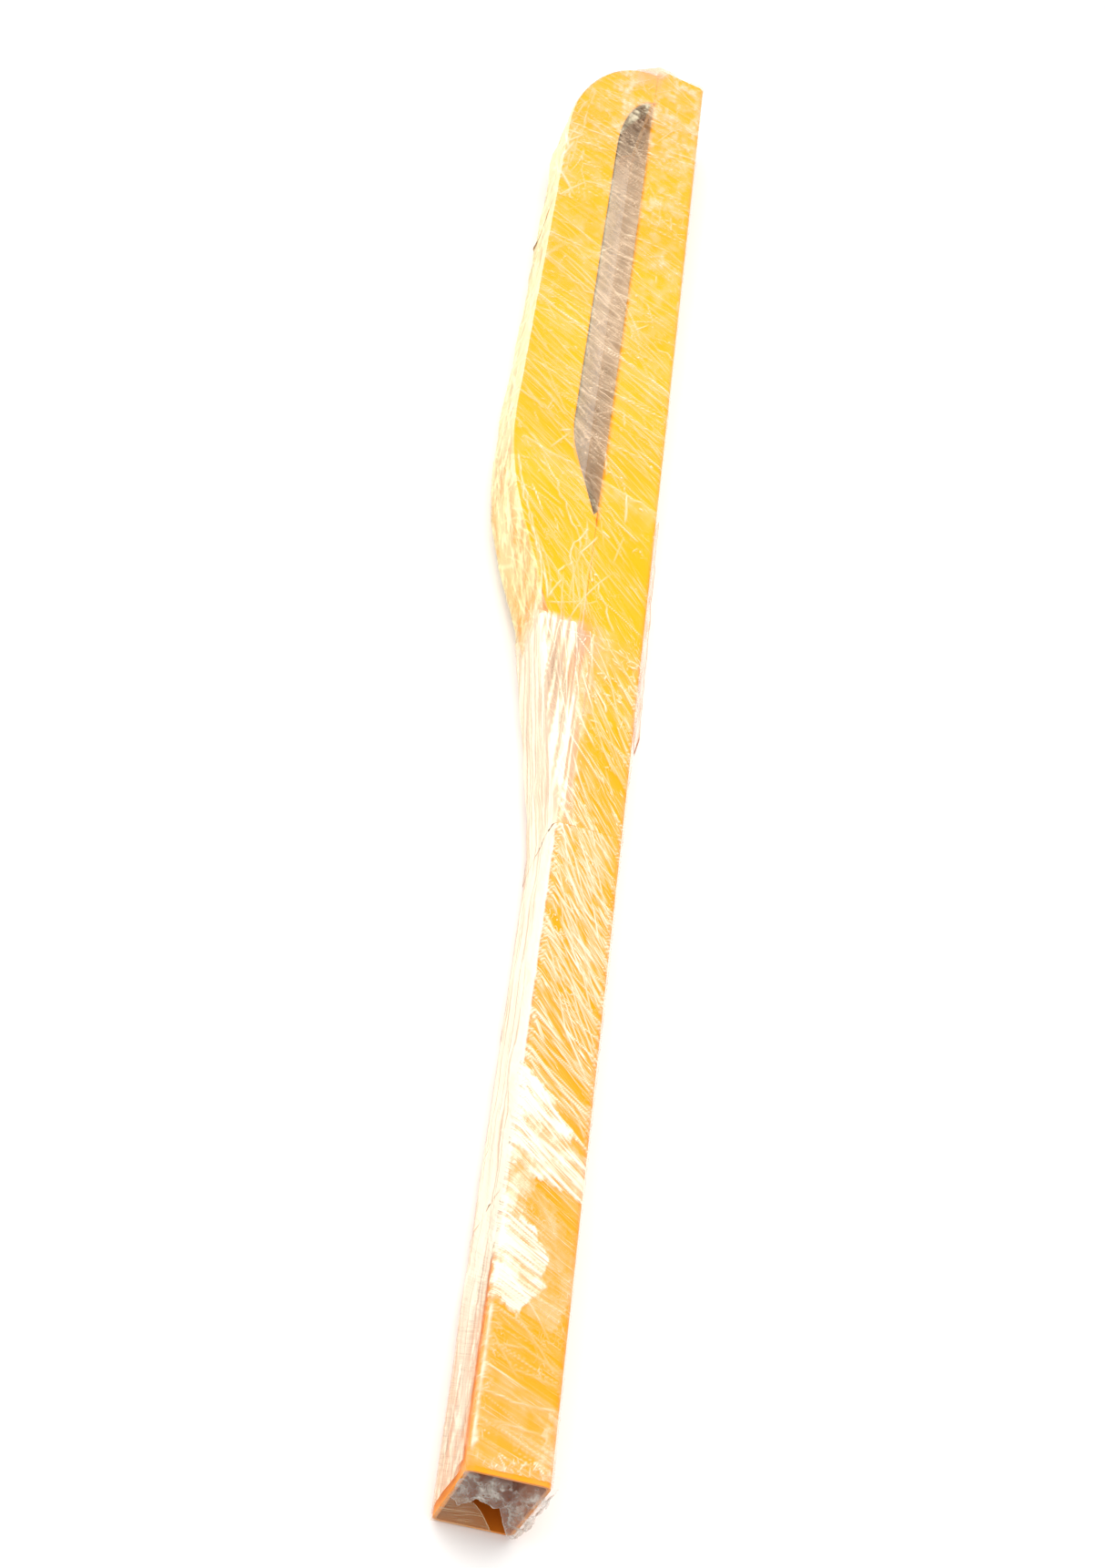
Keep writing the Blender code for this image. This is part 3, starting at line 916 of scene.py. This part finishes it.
    def front_haze(self, u: Grid, y: Grid) -> Grid:
        """Haze of the front, changed by noise drawn out along the grain and, at the head, by plain blots.

        The neck has strands bound over the gap beside the bow, densest at the left and fading to the
        right, and the crown has a bend where the film doubles.

        Args:
            u: Unrolled place round the section.
            y: Place along.

        Returns:
            Haze from 0 to 1.
        """
        line = grain(u, y)
        drawn = noise(line, y, (9, 70), 11) * 0.6 + noise(line, y, (3.5, 40), 12) * 0.4
        broad = noise(u, y, (34, 60), 13)
        blot = noise(u, y, (11, 14), 15) * 0.6 + noise(u, y, (4, 6), 16) * 0.4
        mix = smooth(y, 0.95, 1.25)
        drawn = drawn * (1 - mix) + blot * mix
        streaky = (0.15 + 1.7 * smooth(drawn, 0.30, 0.75)) * (0.3 + 1.4 * broad)
        plain = np.interp(y, HAZE_PLACES, FRONT_HAZE) * streaky
        edge = 0.026 - 0.020 * noise(y, 0 * y, (45, 1000), 17)
        strands = 0.5 + 0.5 * noise(u, y, (2.5, 90), 20) + 0.25 * noise(u, y, (7, 40), 24)
        bound = (0.05 + 0.54 * smooth(edge - u, 0.0, 0.020)) * strands
        over_gap = smooth(-u, -0.021, 0.001) * smooth(-y, -0.800, -0.670)
        bound = np.maximum(bound, over_gap * (0.40 + 0.38 * strands))
        bound = bound + 0.13 * smooth(y + 0.30 * u, 0.745, 0.775)
        bound = bound * smooth(0.045 - u, 0.0, 0.030) * smooth(y, 0.52, 0.60) * smooth(-y, -0.805, -0.795)
        doubled = self.crown_bend(u, y) * (0.32 + 0.50 * smooth(y, 1.755, 1.772))
        return np.maximum(np.maximum(plain, bound), doubled)

    def crown_bend(self, u: Grid, y: Grid) -> Grid:
        """Share of the crown's bend, 1 on a short line over the post's left wall near the top."""
        return smooth(y, 1.700, 1.770) * smooth(-np.abs(u + 0.010), -0.030, -0.008)

    def haze(self, z: Grid, u: Grid, y: Grid) -> Grid:
        """Opacity of the film before its fine pattern, from its place on the post.

        The front, the two walls and the slot each have their own run of values along y. The left wall is
        clearer below a wavering line near the floor, and almost bare on the corner beside the foot.

        Args:
            z: Height.
            u: Unrolled place round the section.
            y: Place along.

        Returns:
            Haze from 0 to 1.
        """
        wall = np.interp(y, HAZE_PLACES, LEFT_HAZE) * (0.88 + 0.24 * noise(u, y, (14, 50), 14))
        # The film is clearer near the floor, so the paint shows through as a painted contact shade line.
        foot_line = 5 * MM + 5 * MM * noise(y, 0 * y, (30, 1000), 22)
        wall = wall * (0.50 + 0.50 * smooth(z - foot_line, -2 * MM, 3 * MM))
        corner = smooth(-u, -1.5 * MM, 0.0) * smooth(u, -9 * MM - 0.02 * (y < 0.01), -5 * MM)
        bare = corner * smooth(-y, -0.19, -0.12)
        other = np.interp(y, HAZE_PLACES, RIGHT_HAZE) * (0.6 + 0.8 * noise(u, y, (34, 60), 13))
        value = np.where(self.on_wall(u, y), wall, self.front_haze(u, y)) * (1 - bare)
        value = np.where(u > self.hull.width - 1.0 * MM, other, value)
        depth = np.interp(y, SLOT_PLACES, SLOT_HAZE) * smooth(self.hull.slot_share(u, y), 0.0, 0.10)
        depth = depth * (0.80 + 0.40 * noise(grain(u, y), y, (8, 60), 18))
        value = np.where(z > FRONT, np.maximum(value, depth), value)
        return np.where(z < UNDERSIDE, 0.10, value)

    def on_wall(self, u: Grid, y: Grid) -> Grid:
        """Whether a place is on the left wall, its upper edge included."""
        return u < self.hull.left(y) + 1.5 * MM

    def pole(self, points: Grid) -> tuple[Grid, Grid]:
        """Close the head: rings of the last row drawn in to its middle, crumpled outwards.

        Args:
            points: The sleeve's points.

        Returns:
            The points with the end's rings added, and the middle point.
        """
        last = points[-1]
        centre = np.array([self.hull.width / 2, 0.0, self.hull.depth / 2])
        rings = []
        for share in (0.0, *np.linspace(0.04, 0.96, self.RINGS)):
            ring = last.copy()
            inset = centre + (last - centre) * (1 - share)
            ring[:, 0], ring[:, 2] = inset[:, 0], inset[:, 2]
            ring[:, 1] = self.hull.head - self.hull.drop * ring[:, 0] / self.hull.width
            folds = noise(ring[:, 0], ring[:, 2], (6, 9), 21)
            ring[:, 1] += self.lift + 1.5 * MM * folds * min(1.0, 12 * share)
            if share == 0.0:
                ring[:, 1] -= 0.2 * MM
                ring[:, [0, 2]] = last[:, [0, 2]] - 0.012 * (last - centre)[:, [0, 2]]
            rings.append(ring)
        middle = np.array([centre[0], rings[-1][:, 1].mean(), centre[2]])
        return np.concatenate([points, np.stack(rings)]), middle

    def warmth(self, x: Grid, z: Grid, u: Grid, y: Grid) -> Grid:
        """How warm the film looks: painted shade over the slot, in the neck's strands and down the left wall, and
        warmer film at the crown's bend.

        Strands of the neck are noise drawn out along y. Above 1 the value gives the fold's painted shade: in
        those strands, in lines down the left wall and as a painted contact shadow along the floor. The bow's wall
        is golden, which is negative.

        Args:
            x: Place across.
            z: Height.
            u: Unrolled place round the section.
            y: Place along.

        Returns:
            The finish's warm value.
        """
        warm = np.maximum(self.over_slot(z, u, y), self.crown_bend(u, y))
        # Painted shade in the strands bridging the neck's gap beside the bow.
        shaded_strands = smooth(noise(u, y, (2.2, 80), 25), 0.35, 0.75) * smooth(-u, -0.026, -0.004)
        shaded_strands = shaded_strands * np.where(z > 95 * MM, 1.0, 0.75)
        warm = np.maximum(warm, 1.45 * shaded_strands * smooth(y, 0.52, 0.60) * smooth(-y, -0.83, -0.79))
        on_left = smooth(-x, -1 * MM, 1 * MM) * smooth(-z, -92 * MM, -88 * MM)
        # Painted shade down the left wall: streaks of fold shade, and a contact shadow along the floor.
        fold_shade_lines = 1.4 * smooth(noise(u, y, (3, 70), 26), 0.50, 0.90) + 1.2 * smooth(-z, -7 * MM, -3 * MM)
        warm = np.maximum(warm, on_left * fold_shade_lines)
        golden = self.on_wall(u, y) * smooth(y, 0.79, 0.84) * smooth(-y, -1.72, -1.62)
        return warm * (1 - golden) - 0.85 * golden

    def over_slot(self, z: Grid, u: Grid, y: Grid) -> Grid:
        """Warm value of the film that bridges the slot: painted shade of the slot beneath it."""
        return 0.9 * smooth(self.hull.slot_share(u, y), 0.0, 0.15) * (z > FRONT)

    def build(self, material: Material) -> Thing:
        """Make the sleeve, its pleats and its values, and hide the CAD pieces that it stands for.

        Each point lies out from the hull along its normal, by the lift, the creases, fine and coarse noise
        and, on the walls, a slow sway; the film sags a little over the slot and is flat on the floor.

        Args:
            material: The film finish.

        Returns:
            The sleeve.
        """
        y = self.places()
        x, z, across, up, u = self.section(y)
        rise, mark, milky = np.zeros_like(y), np.zeros_like(y), np.zeros_like(y)
        for family in self.pleats:
            family.add_to(u, y, rise, mark)
        for seam in self.seams:
            milky = np.maximum(milky, seam.add_to(u, y, rise, mark))
        line = grain(u, y)
        rise += 0.35 * MM * noise(line, y, (4, 45), 31) + 0.25 * MM * noise(u, y, (7, 9), 32)
        walls = smooth(z, 4 * MM, 20 * MM) * smooth(-z, -96 * MM, -80 * MM)
        walls = walls * np.clip(np.abs(across) * 1.2 - 0.2, 0, 1)
        sway = noise(z + 0.3 * y, y, (45, 55), 33) * noise(z, y, (20, 24), 34)
        rise += self.loose * walls * sway * 1.6
        sag = 1.6 * MM * smooth(self.hull.slot_share(x, y), 0, 1) * smooth(up, 0.9, 1.0)
        out = self.lift + rise
        x = x + across * out
        z = np.maximum(z + up * out - sag, -0.4 * MM)
        haze = np.maximum(self.haze(z, u, y), milky)
        crazed = 0.70 + 0.30 * smooth(noise(line, y, (4, 22), 42), 0.25, 0.60)
        torn = 0.12 + 0.20 * smooth(-y, -0.26, -0.12)
        for patch in self.patches:
            white = np.where(z > FRONT, patch.value(u, y), 0)
            haze = np.maximum(haze, white * crazed)
            torn = np.maximum(torn, smooth(white, 0.0, 0.4))
        streaks = np.interp(y, STREAK_PLACES, STREAK_VALUES) * (0.5 + noise(line, y, (12, 60), 41))
        streaks = streaks * np.where((z < UNDERSIDE) | (u < self.hull.left(y)), 0.25, 1.0)
        streaks = streaks * (1 + 0.8 * self.over_slot(z, u, y))
        numbers = film_values(haze, mark, streaks, self.warmth(x, z, u, y), torn)
        points = np.stack([x, y, z], axis=-1)
        grids = film_maps(line, y, u)
        middle = None
        if self.closed_head:
            points, middle = self.pole(points)
            added = len(points) - len(y)
            grids = {key: self.carry_on(points, grid, added) for key, grid in grids.items()}
            for key, grid in numbers.items():
                numbers[key] = np.concatenate([grid, np.repeat(grid[-1:], added, 0)])
            numbers["haze"][-added:] = 0.35
        piece = add_grid(self.name, points, grids, numbers, material, closed=True, pole=middle)
        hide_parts(*self.stands_for)
        return piece

    def carry_on(self, points: Grid, grid: Grid, added: int) -> Grid:
        """Extend a map over the closed end, moving on in length as the rings shrink.

        Args:
            points: The sleeve's points, the rings included.
            grid: The map without the rings.
            added: Number of rings.

        Returns:
            The map with the rings.
        """
        edge = points[-added - 1]
        fall = np.linalg.norm((points[-added:] - edge)[..., [0, 2]], axis=-1)
        more = np.repeat(grid[-1:], added, 0)
        more[..., 1] += fall
        return np.concatenate([grid, more])


@dataclass
class LooseFilm:
    """The loose sheets: the tail on the right, and the curtain and veil over the open foot."""

    hull: Hull = field(default_factory=Hull)
    tail_span: Pair = (0.680, 0.970)
    tail_width: float = 0.040
    tail_drop: float = 0.042
    tail_flare: float = 6.0 * MM
    curtain_x: tuple[float, ...] = (-0.001, 0.008, 0.018, 0.035, 0.045, 0.056, 0.064)
    curtain_low: tuple[float, ...] = (0.060, 0.046, 0.058, 0.056, 0.030, 0.006, 0.004)
    curtain_flat: Pair = (0.080, 0.080)
    veil_flat: Pair = (0.040, 0.070)
    veil_area: float = 0.0020

    def tail(self, material: Material) -> Thing:
        """A strip that stands off the right wall, more towards its lower end.

        x = wall + flare (1 - t)^2 plus ripples, where t runs up the strip; it hangs from the top edge.

        Args:
            material: The strip's finish.

        Returns:
            The strip.
        """
        t, s = np.meshgrid(np.linspace(0, 1, 190), np.linspace(0, 1, 30), indexing="ij")
        y = self.tail_span[0] + t * (self.tail_span[1] - self.tail_span[0])
        off = 2.2 * MM + self.tail_flare * (1 - t) ** 2 * (0.6 + 0.4 * s)
        off = off + 1.2 * MM * noise(s, y, (300, 14), 51) * np.sin(math.pi * t)
        top = self.hull.depth - 1.0 * MM - 3 * MM * noise(y, y, (16, 1000), 52)
        drop = self.tail_drop * (0.55 + 0.45 * np.sin(math.pi * np.clip(t * 1.1, 0, 1)))
        z = top - drop * s
        points = np.stack([self.hull.width + off, y, z], -1)
        edge = np.maximum(smooth(s, 0.88, 0.97), smooth(-s, -0.10, 0.0))
        edge = np.maximum(edge, smooth(-t, -0.03, -0.01))
        haze = 0.24 + 0.16 * noise(y, z, (20, 6), 53) + 0.50 * edge
        values = film_values(haze, 0.1 * edge, 0.5, 0.0, 0.0)
        piece = add_grid("film_tail_strip", points, film_maps(0.5 * z, y, z), values, material)
        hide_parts("film_tail")
        return piece

    def curtain(self, material: Material) -> Thing:
        """Film gathered over the top edge of the mouth, hanging lowest on the right.

        Rows run from just behind the edge, over its round and down to a ragged lower line; the whole is
        crumpled by three sizes of folded noise, |2n - 1|.

        Args:
            material: The curtain's finish.

        Returns:
            The curtain.
        """
        t, s = np.meshgrid(np.linspace(0, 1, 130), np.linspace(0, 1, 150), indexing="ij")
        x = self.curtain_x[0] + s * (self.curtain_x[-1] - self.curtain_x[0])
        low = np.interp(x, self.curtain_x, self.curtain_low) + 3 * MM * (noise(x, x, (5, 1000), 54) - 0.5)
        top = self.hull.depth + 1.4 * MM
        lap, turn = 0.06, 0.12
        z = np.where(t < turn, top, top - (t - turn) / (1 - turn) * (top - low))
        y = np.where(t < lap, 9 * MM * (1 - t / lap), 0.0) - 1.0 * MM
        folds = np.zeros_like(t)
        for size, cell, seed in ((1.0, 10, 55), (0.7, 4.2, 56), (0.4, 1.8, 57)):
            folds += size * np.abs(2 * noise(x + 0.25 * z, z, (cell, 1.6 * cell), seed) - 1)
        hang = smooth(t, lap, 0.25)
        bulge = np.sin(math.pi * np.clip((t - lap) / (1 - lap), 0, 1))
        y = y - (0.5 * MM + 2.6 * MM * folds) * hang - 1.5 * MM * bulge
        belly = smooth(x, 0.052, 0.064) * np.sin(math.pi * np.clip((z - 0.004) / 0.098, 0, 1))
        x = x + 2.5 * MM * belly + 1.2 * MM * (folds - 0.9) * hang
        y = y + 7 * MM * smooth(s, 0.93, 1.0) * hang
        z = z - 1.0 * MM * smooth(folds, 0.9, 1.6) * hang
        ridge = smooth(-folds, -0.62, -0.30) + smooth(folds, 1.25, 1.60)
        haze = 0.16 + 0.20 * noise(x, z, (7, 9), 58) + 0.20 * noise(x + 0.4 * z, z, (2, 5), 68)
        haze = 0.06 + hang * haze
        edge = smooth(t, 0.975, 1.0)
        # Fold ridges and the lower edge get white marks: partly whitened film, partly painted glints.
        creased = np.clip(0.42 * ridge + 0.6 * edge, 0, 1) * hang
        values = film_values(haze, creased, 0.5 * hang, 0.0, 0.0)
        points = np.stack([x, y, z], -1)
        piece = add_grid("film_foot_curtain", points, film_maps(x - 0.4 * z, z, x), values, material)
        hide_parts("film_foot_tuck")
        return piece

    def veil(self, material: Material) -> Thing:
        """A triangle of film drawn tight across the lower left of the mouth.

        It is ruled between the left wall's edge and the free edge, and sinks a little inwards between them.

        Args:
            material: The veil's finish.

        Returns:
            The veil.
        """
        t, s = np.meshgrid(np.linspace(0, 1, 70), np.linspace(0.0, 1, 60), indexing="ij")
        first = np.stack([0 * t - 0.5 * MM, 0 * t, 0.064 * (1 - t) + 0.001], -1)
        free_x, free_z = 0.012 + 0.032 * t, 0.052 * (1 - t) ** 1.15 + 0.0035
        second = np.stack([free_x, 0 * t, free_z], -1)
        points = first + (second - first) * s[..., None]
        fine = np.abs(2 * noise(t, s, (18, 900), 59) - 1)
        points[..., 1] = -1.2 * MM + 5 * MM * smooth(s, 0, 1) * np.sin(math.pi * t) - 0.9 * MM * fine * s
        haze = 0.15 + 0.14 * noise(t, s, (100, 500), 60)
        mark = np.maximum(0.35 * smooth(-fine, -0.25, -0.05), 0.8 * smooth(s, 0.97, 1.0))
        # A warm value of 0.8 gives the veil its brown painted shade of the mouth.
        values = film_values(haze, mark, 0.4, 0.8, 0.0)
        maps = film_maps(self.veil_flat[1] * t, self.veil_flat[0] * s, self.veil_flat[1] * t)
        piece = add_grid("film_foot_veil", points, maps, values, material)
        return piece

    def build(self) -> list[Thing]:
        """Make every loose sheet, each with its own finish.

        Returns:
            The tail, the curtain and the veil.
        """
        # The curtain's film is greyed and the veil's browned: painted shade of the hollow mouth behind them.
        shaded_curtain_finish = FilmFinish("shaded_curtain_film", (0.50, 0.46, 0.40), (0.50, 0.42, 0.34), milk=(0.72, 0.67, 0.60))
        shaded_veil_finish = FilmFinish(name="veil_film", warm=(0.66, 0.40, 0.18), milk=(0.80, 0.58, 0.36))
        strip = FilmFinish(name="strip_film", milk=(0.58, 0.36, 0.26))
        return [self.tail(strip.make()), self.curtain(shaded_curtain_finish.make()), self.veil(shaded_veil_finish.make())]


@dataclass
class Steelwork:
    """The CAD's steel pieces, which keep their shapes and take their finishes here."""

    tube: str = "post_tube"
    painted: tuple[str, ...] = (
        "post_cap",
        "bow_front_cheek",
        "bow_rear_cheek",
        "bow_leg_strip",
        "bow_side_strip",
        "bow_crown_strip",
    )
    welded: str = "weld_"
    # The slot's lining is darkened all over with painted shade.
    lining: str = "bow_inner_strip"

    def dress(self) -> None:
        """Give every steel node its paint."""
        paint = PaintFinish().make()
        tube = PaintFinish(name="tube_paint", hollow=True).make()
        bead = PaintFinish(name="weld_paint", ripple=1.2, shaded_foot_tone=(0.90, 0.27, 0.001)).make()
        # Paint darkened in patches as painted shade of the slot, for its lining.
        shaded_lining = PaintFinish(name="shaded_lining_paint", painted_shade=0.85, peel=0.25).make()
        for name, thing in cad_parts.items():
            if name == self.tube:
                finish = tube
            elif name in self.painted:
                finish = paint
            elif name.startswith(self.welded):
                finish = bead
            elif name == self.lining:
                finish = shaded_lining
            else:
                continue
            for slot in thing.material_slots:
                slot.material = finish
            LOG.info("dressed %s with %s", name, finish.name)


@dataclass
class Studio:
    """Floor, soft lights and camera."""

    lens: float = 46.0
    sensor: float = 36.0
    far: float = 50.0
    eye: Triple = (-0.2486, -1.4074, 1.378)
    right: Triple = (0.9528, 0.1063, 0.2842)
    down: Triple = (0.2640, -0.7524, -0.6035)
    forward: Triple = (0.1497, 0.6501, -0.7450)
    floor_size: float = 14.0
    floor_level: float = -0.6 * MM
    sky: float = 0.58

    def floor(self) -> Thing:
        """Lay the floor: a flat grid just under the film.

        Returns:
            The floor.
        """
        edge = self.floor_size / 2
        line = np.linspace(-edge, edge, 9)
        x, y = np.meshgrid(line, line)
        vertices = np.stack([x, y, np.full_like(x, self.floor_level)], -1).reshape(-1, 3)
        faces = grid_faces(len(line), len(line), len(line)).reshape(-1, 4)
        mesh = bpy.data.meshes.new("floor")
        mesh.from_pydata(vertices.tolist(), [], faces.tolist())
        mesh.materials.append(FloorFinish().make())
        thing = bpy.data.objects.new("floor", mesh)
        bpy.context.scene.collection.objects.link(thing)
        return thing

    def lamp(
        self, name: str, place: Triple, aim: Triple, size: Pair, power: float, tone: Triple, mirrored: bool = True
    ) -> None:
        """Hang a rectangular soft light.

        Args:
            name: Name of the light.
            place: Where it hangs.
            aim: The point it faces.
            size: Its width and length.
            power: Watts.
            tone: Its colour.
            mirrored: Whether shiny surfaces show it.
        """
        light = bpy.data.lights.new(name, "AREA")
        light.shape = "RECTANGLE"
        light.size, light.size_y = size
        light.energy = power
        light.color = tone
        thing = bpy.data.objects.new(name, light)
        thing.visible_glossy = mirrored
        way = Vector(aim) - Vector(place)
        thing.matrix_world = Matrix.Translation(place) @ way.to_track_quat("-Z", "Y").to_matrix().to_4x4()
        bpy.context.scene.collection.objects.link(thing)

    def camera(self) -> None:
        """Place the camera from its measured eye point and axes."""
        data = bpy.data.cameras.new("camera")
        data.lens = self.lens
        data.sensor_width = self.sensor
        data.clip_end = self.far
        axes = np.column_stack([self.right, [-v for v in self.down], [-v for v in self.forward]])
        turn, _, other = np.linalg.svd(axes)
        thing = bpy.data.objects.new("camera", data)
        thing.matrix_world = Matrix.Translation(self.eye) @ Matrix((turn @ other).tolist()).to_4x4()
        bpy.context.scene.collection.objects.link(thing)
        bpy.context.scene.camera = thing

    def build(self) -> None:
        """Set up the whole studio."""
        self.floor()
        self.camera()
        world = bpy.data.worlds.new("studio")
        world.use_nodes = True
        back = world.node_tree.nodes["Background"]
        back.inputs["Color"].default_value = (1.0, 1.0, 1.0, 1.0)
        back.inputs["Strength"].default_value = self.sky
        bpy.context.scene.world = world
        bpy.context.scene.view_settings.view_transform = "Standard"
        pale = (1.0, 0.985, 0.96)
        self.lamp("key", (-0.4, -0.2, 2.6), (-0.2, -0.2, 0.0), (2.6, 4.4), 116.0, pale, mirrored=False)
        self.lamp("strip", (-1.2, 0.6, 1.3), (0.0, 0.3, 0.1), (0.08, 1.8), 5.0, (1.0, 1.0, 1.0))


def film_pieces() -> list[FilmSleeve]:
    """The lengths of film along the post, from the foot to the head.

    Pleats, seams and patches are placed in millimetres round the film and along the post.

    Returns:
        The sleeves, each with its pleats, seams and patches.
    """
    whites = (
        Patch(((-2, 128), (22, 116), (37, 140), (38, 168), (18, 190), (-2, 196)), 0.86),
        Patch(((-3, 235), (19, 227), (61, 208), (63, 238), (30, 290), (-3, 325)), 0.86, seed=9),
        Patch(((-3, 185), (14, 185), (22, 230), (-3, 240)), 0.62, ragged=6, seed=13),
        Patch(((12, 130), (45, 108), (61, 135), (61, 165), (30, 215), (12, 215)), 0.20, seed=17),
        Patch(((45, 218), (61, 212), (63, 248), (50, 252)), 0.85, ragged=1.5, seed=21),
        Patch(((47, -10), (62, -10), (62, 49), (52, 50)), 0.34, ragged=4, seed=23),
    )
    foot = FilmSleeve(
        "film_foot", 0.003, 0.2146, ("film_wrap_foot",), patches=whites, row_step=1.2 * MM,
        pleats=(
            Pleats(60, (0, 60), (0, 215), 101, scatter=14, width=(0.3, 0.8), mark=0.40),
            Pleats(30, (-100, -10), (0, 220), 102, -55, 15, width=WALL_PLEAT, mark=0.35),
            Pleats(14, (1.2, 4.5), (10, 200), 103, -88, 5, (8, 40), (0.3, 0.4)),
            Pleats(60, (1, 9), (10, 200), 104, -30, 40, (3, 10), (0.2, 0.6), mark=0.6),
            Pleats(34, (6, 56), (3, 14), 105, 70, 45, (3, 9), (0.3, 0.5), mark=0.85),
        ),
        seams=(
            Seam((-1, 56), (62, 50), width=0.7, mark=0.45, rise=0.6, milky=0.12, fade=30),
            Seam((2.2, 14), (2.2, 205), width=0.28, mark=0.85, rise=0.7, wander=0.8, seed=91),
        ),
    )
    shaft = FilmSleeve(
        "film_shaft", 0.2146, 0.560, ("film_wrap_shaft",), patches=whites, row_step=1.15 * MM, loose=3.5 * MM,
        pleats=(
            Pleats(230, (-5, 65), (250, 600), 111, length=(20, 70), mark=1.0),
            Pleats(150, (0, 60), (400, 600), 113, length=(10, 50), width=(0.3, 0.6), mark=0.9),
            Pleats(16, (-100, -10), (200, 600), 112, -80, 16, width=WALL_PLEAT, mark=0.25),
        ),
    )
    neck = FilmSleeve(
        "film_neck", 0.560, 0.788, ("film_wrap_neck", "film_neck_web"),
        lift=1.5 * MM, end_slope=-0.50, ragged=9 * MM,
        pleats=(
            Pleats(90, (-45, 12), (560, 800), 121, -84, 7, (40, 130), mark=0.75),
            Pleats(58, (8, 65), (550, 780), 122, length=(20, 80), mark=0.85),
            Pleats(70, (0, 60), (680, 790), 124, -50, 30, (3, 12), mark=0.9),
            Pleats(30, (-150, -40), (550, 800), 123, -84, 10, width=WALL_PLEAT, mark=0.45),
        ),
        seams=(Seam((-45, 797), (64, 762), mark=0.55, wander=6),),
    )
    lower = FilmSleeve(
        "film_head_lower", 0.690, 1.080, ("film_wrap_head",),
        pleats=(
            Pleats(90, (-100, 60), (780, 1100), 131, length=(30, 140), width=(0.3, 0.8), mark=0.6),
            Pleats(30, (-90, 60), (900, 1100), 134, scatter=35, length=(10, 50), mark=0.9),
            # Short bright marks on small raised creases: painted glints.
            Pleats(26, (-80, 60), (840, 1080), 135, scatter=30, length=(2, 6), mark=1.0),
            Pleats(22, (-60, 0), (800, 880), 132, -75, 22, (40, 120), mark=0.6),
            Pleats(50, (-200, -100), (700, 1100), 133, -70, 20, width=WALL_PLEAT, mark=0.5),
        ),
        seams=(
            Seam((-85, 1030), (62, 975), width=1.2, mark=0.45, milky=0.20, fade=18),
            Seam((-10, 925), (-36, 820), mark=0.7, wander=8),
            Seam((-88, 1000), (-36, 818), mark=0.75),
            Seam((-80, 960), (-34, 822), mark=0.6, seed=75),
            Seam((10, 830), (-34, 812), mark=0.5, seed=77),
            Seam((-60, 1010), (30, 800), mark=0.6, wander=5, seed=79),
        ),
    )
    middle = FilmSleeve(
        "film_head_middle", 1.080, 1.450, (),
        pleats=(
            Pleats(110, (-100, 60), (1060, 1460), 141, None, 14, (30, 160), (0.3, 0.9), mark=0.6),
            Pleats(80, (-100, 60), (1060, 1460), 143, None, 50, (10, 40), (0.3, 0.8), mark=0.6),
            # Short bright marks on small raised creases: painted glints.
            Pleats(40, (-90, 60), (1070, 1450), 144, scatter=30, length=(2, 6), mark=1.0),
            Pleats(60, (-200, -97), (1060, 1460), 142, -60, 25, width=WALL_PLEAT, mark=0.6),
        ),
        seams=(
            Seam((-98, 1262), (64, 1158), milky=0.07, fade=25),
            Seam((-98, 1330), (64, 1215), mark=0.5, wander=6, seed=81),
            Seam((-90, 1150), (64, 1085), mark=0.6, seed=83),
        ),
    )
    crown = FilmSleeve(
        "film_head_crown", 1.450, 1.784, (), closed_head=True, loose=6.0 * MM,
        pleats=(
            Pleats(90, (-100, 60), (1440, 1790), 151, None, 18, (30, 140), (0.3, 0.9), mark=0.5),
            Pleats(90, (-100, 60), (1440, 1790), 154, None, 60, (10, 50), (0.3, 0.8), mark=0.5),
            Pleats(16, (-90, 60), (1480, 1720), 152, -5, 8, (30, 90), mark=0.5),
            Pleats(70, (-200, -90), (1440, 1790), 153, -50, 30, width=WALL_PLEAT, mark=0.7),
            Pleats(60, (-105, -75), (1450, 1760), 155, 80, 12, (20, 60), (0.4, 1.2), mark=0.6),
        ),
        seams=(Seam((-100, 1602), (12, 1588), mark=0.7, milky=0.10),),
    )
    return [foot, shaft, neck, lower, middle, crown]


def main() -> None:
    """Build the studio, dress the steel and wrap the film."""
    logging.basicConfig(level=logging.INFO, format="%(name)s: %(message)s")
    Studio().build()
    Steelwork().dress()
    film = FilmFinish().make()
    for sleeve in film_pieces():
        piece = sleeve.build(film)
        LOG.info("built %s with %d faces", piece.name, len(piece.data.polygons))
    for piece in LooseFilm().build():
        LOG.info("built %s with %d faces", piece.name, len(piece.data.polygons))


if __name__ == "__main__":
    main()
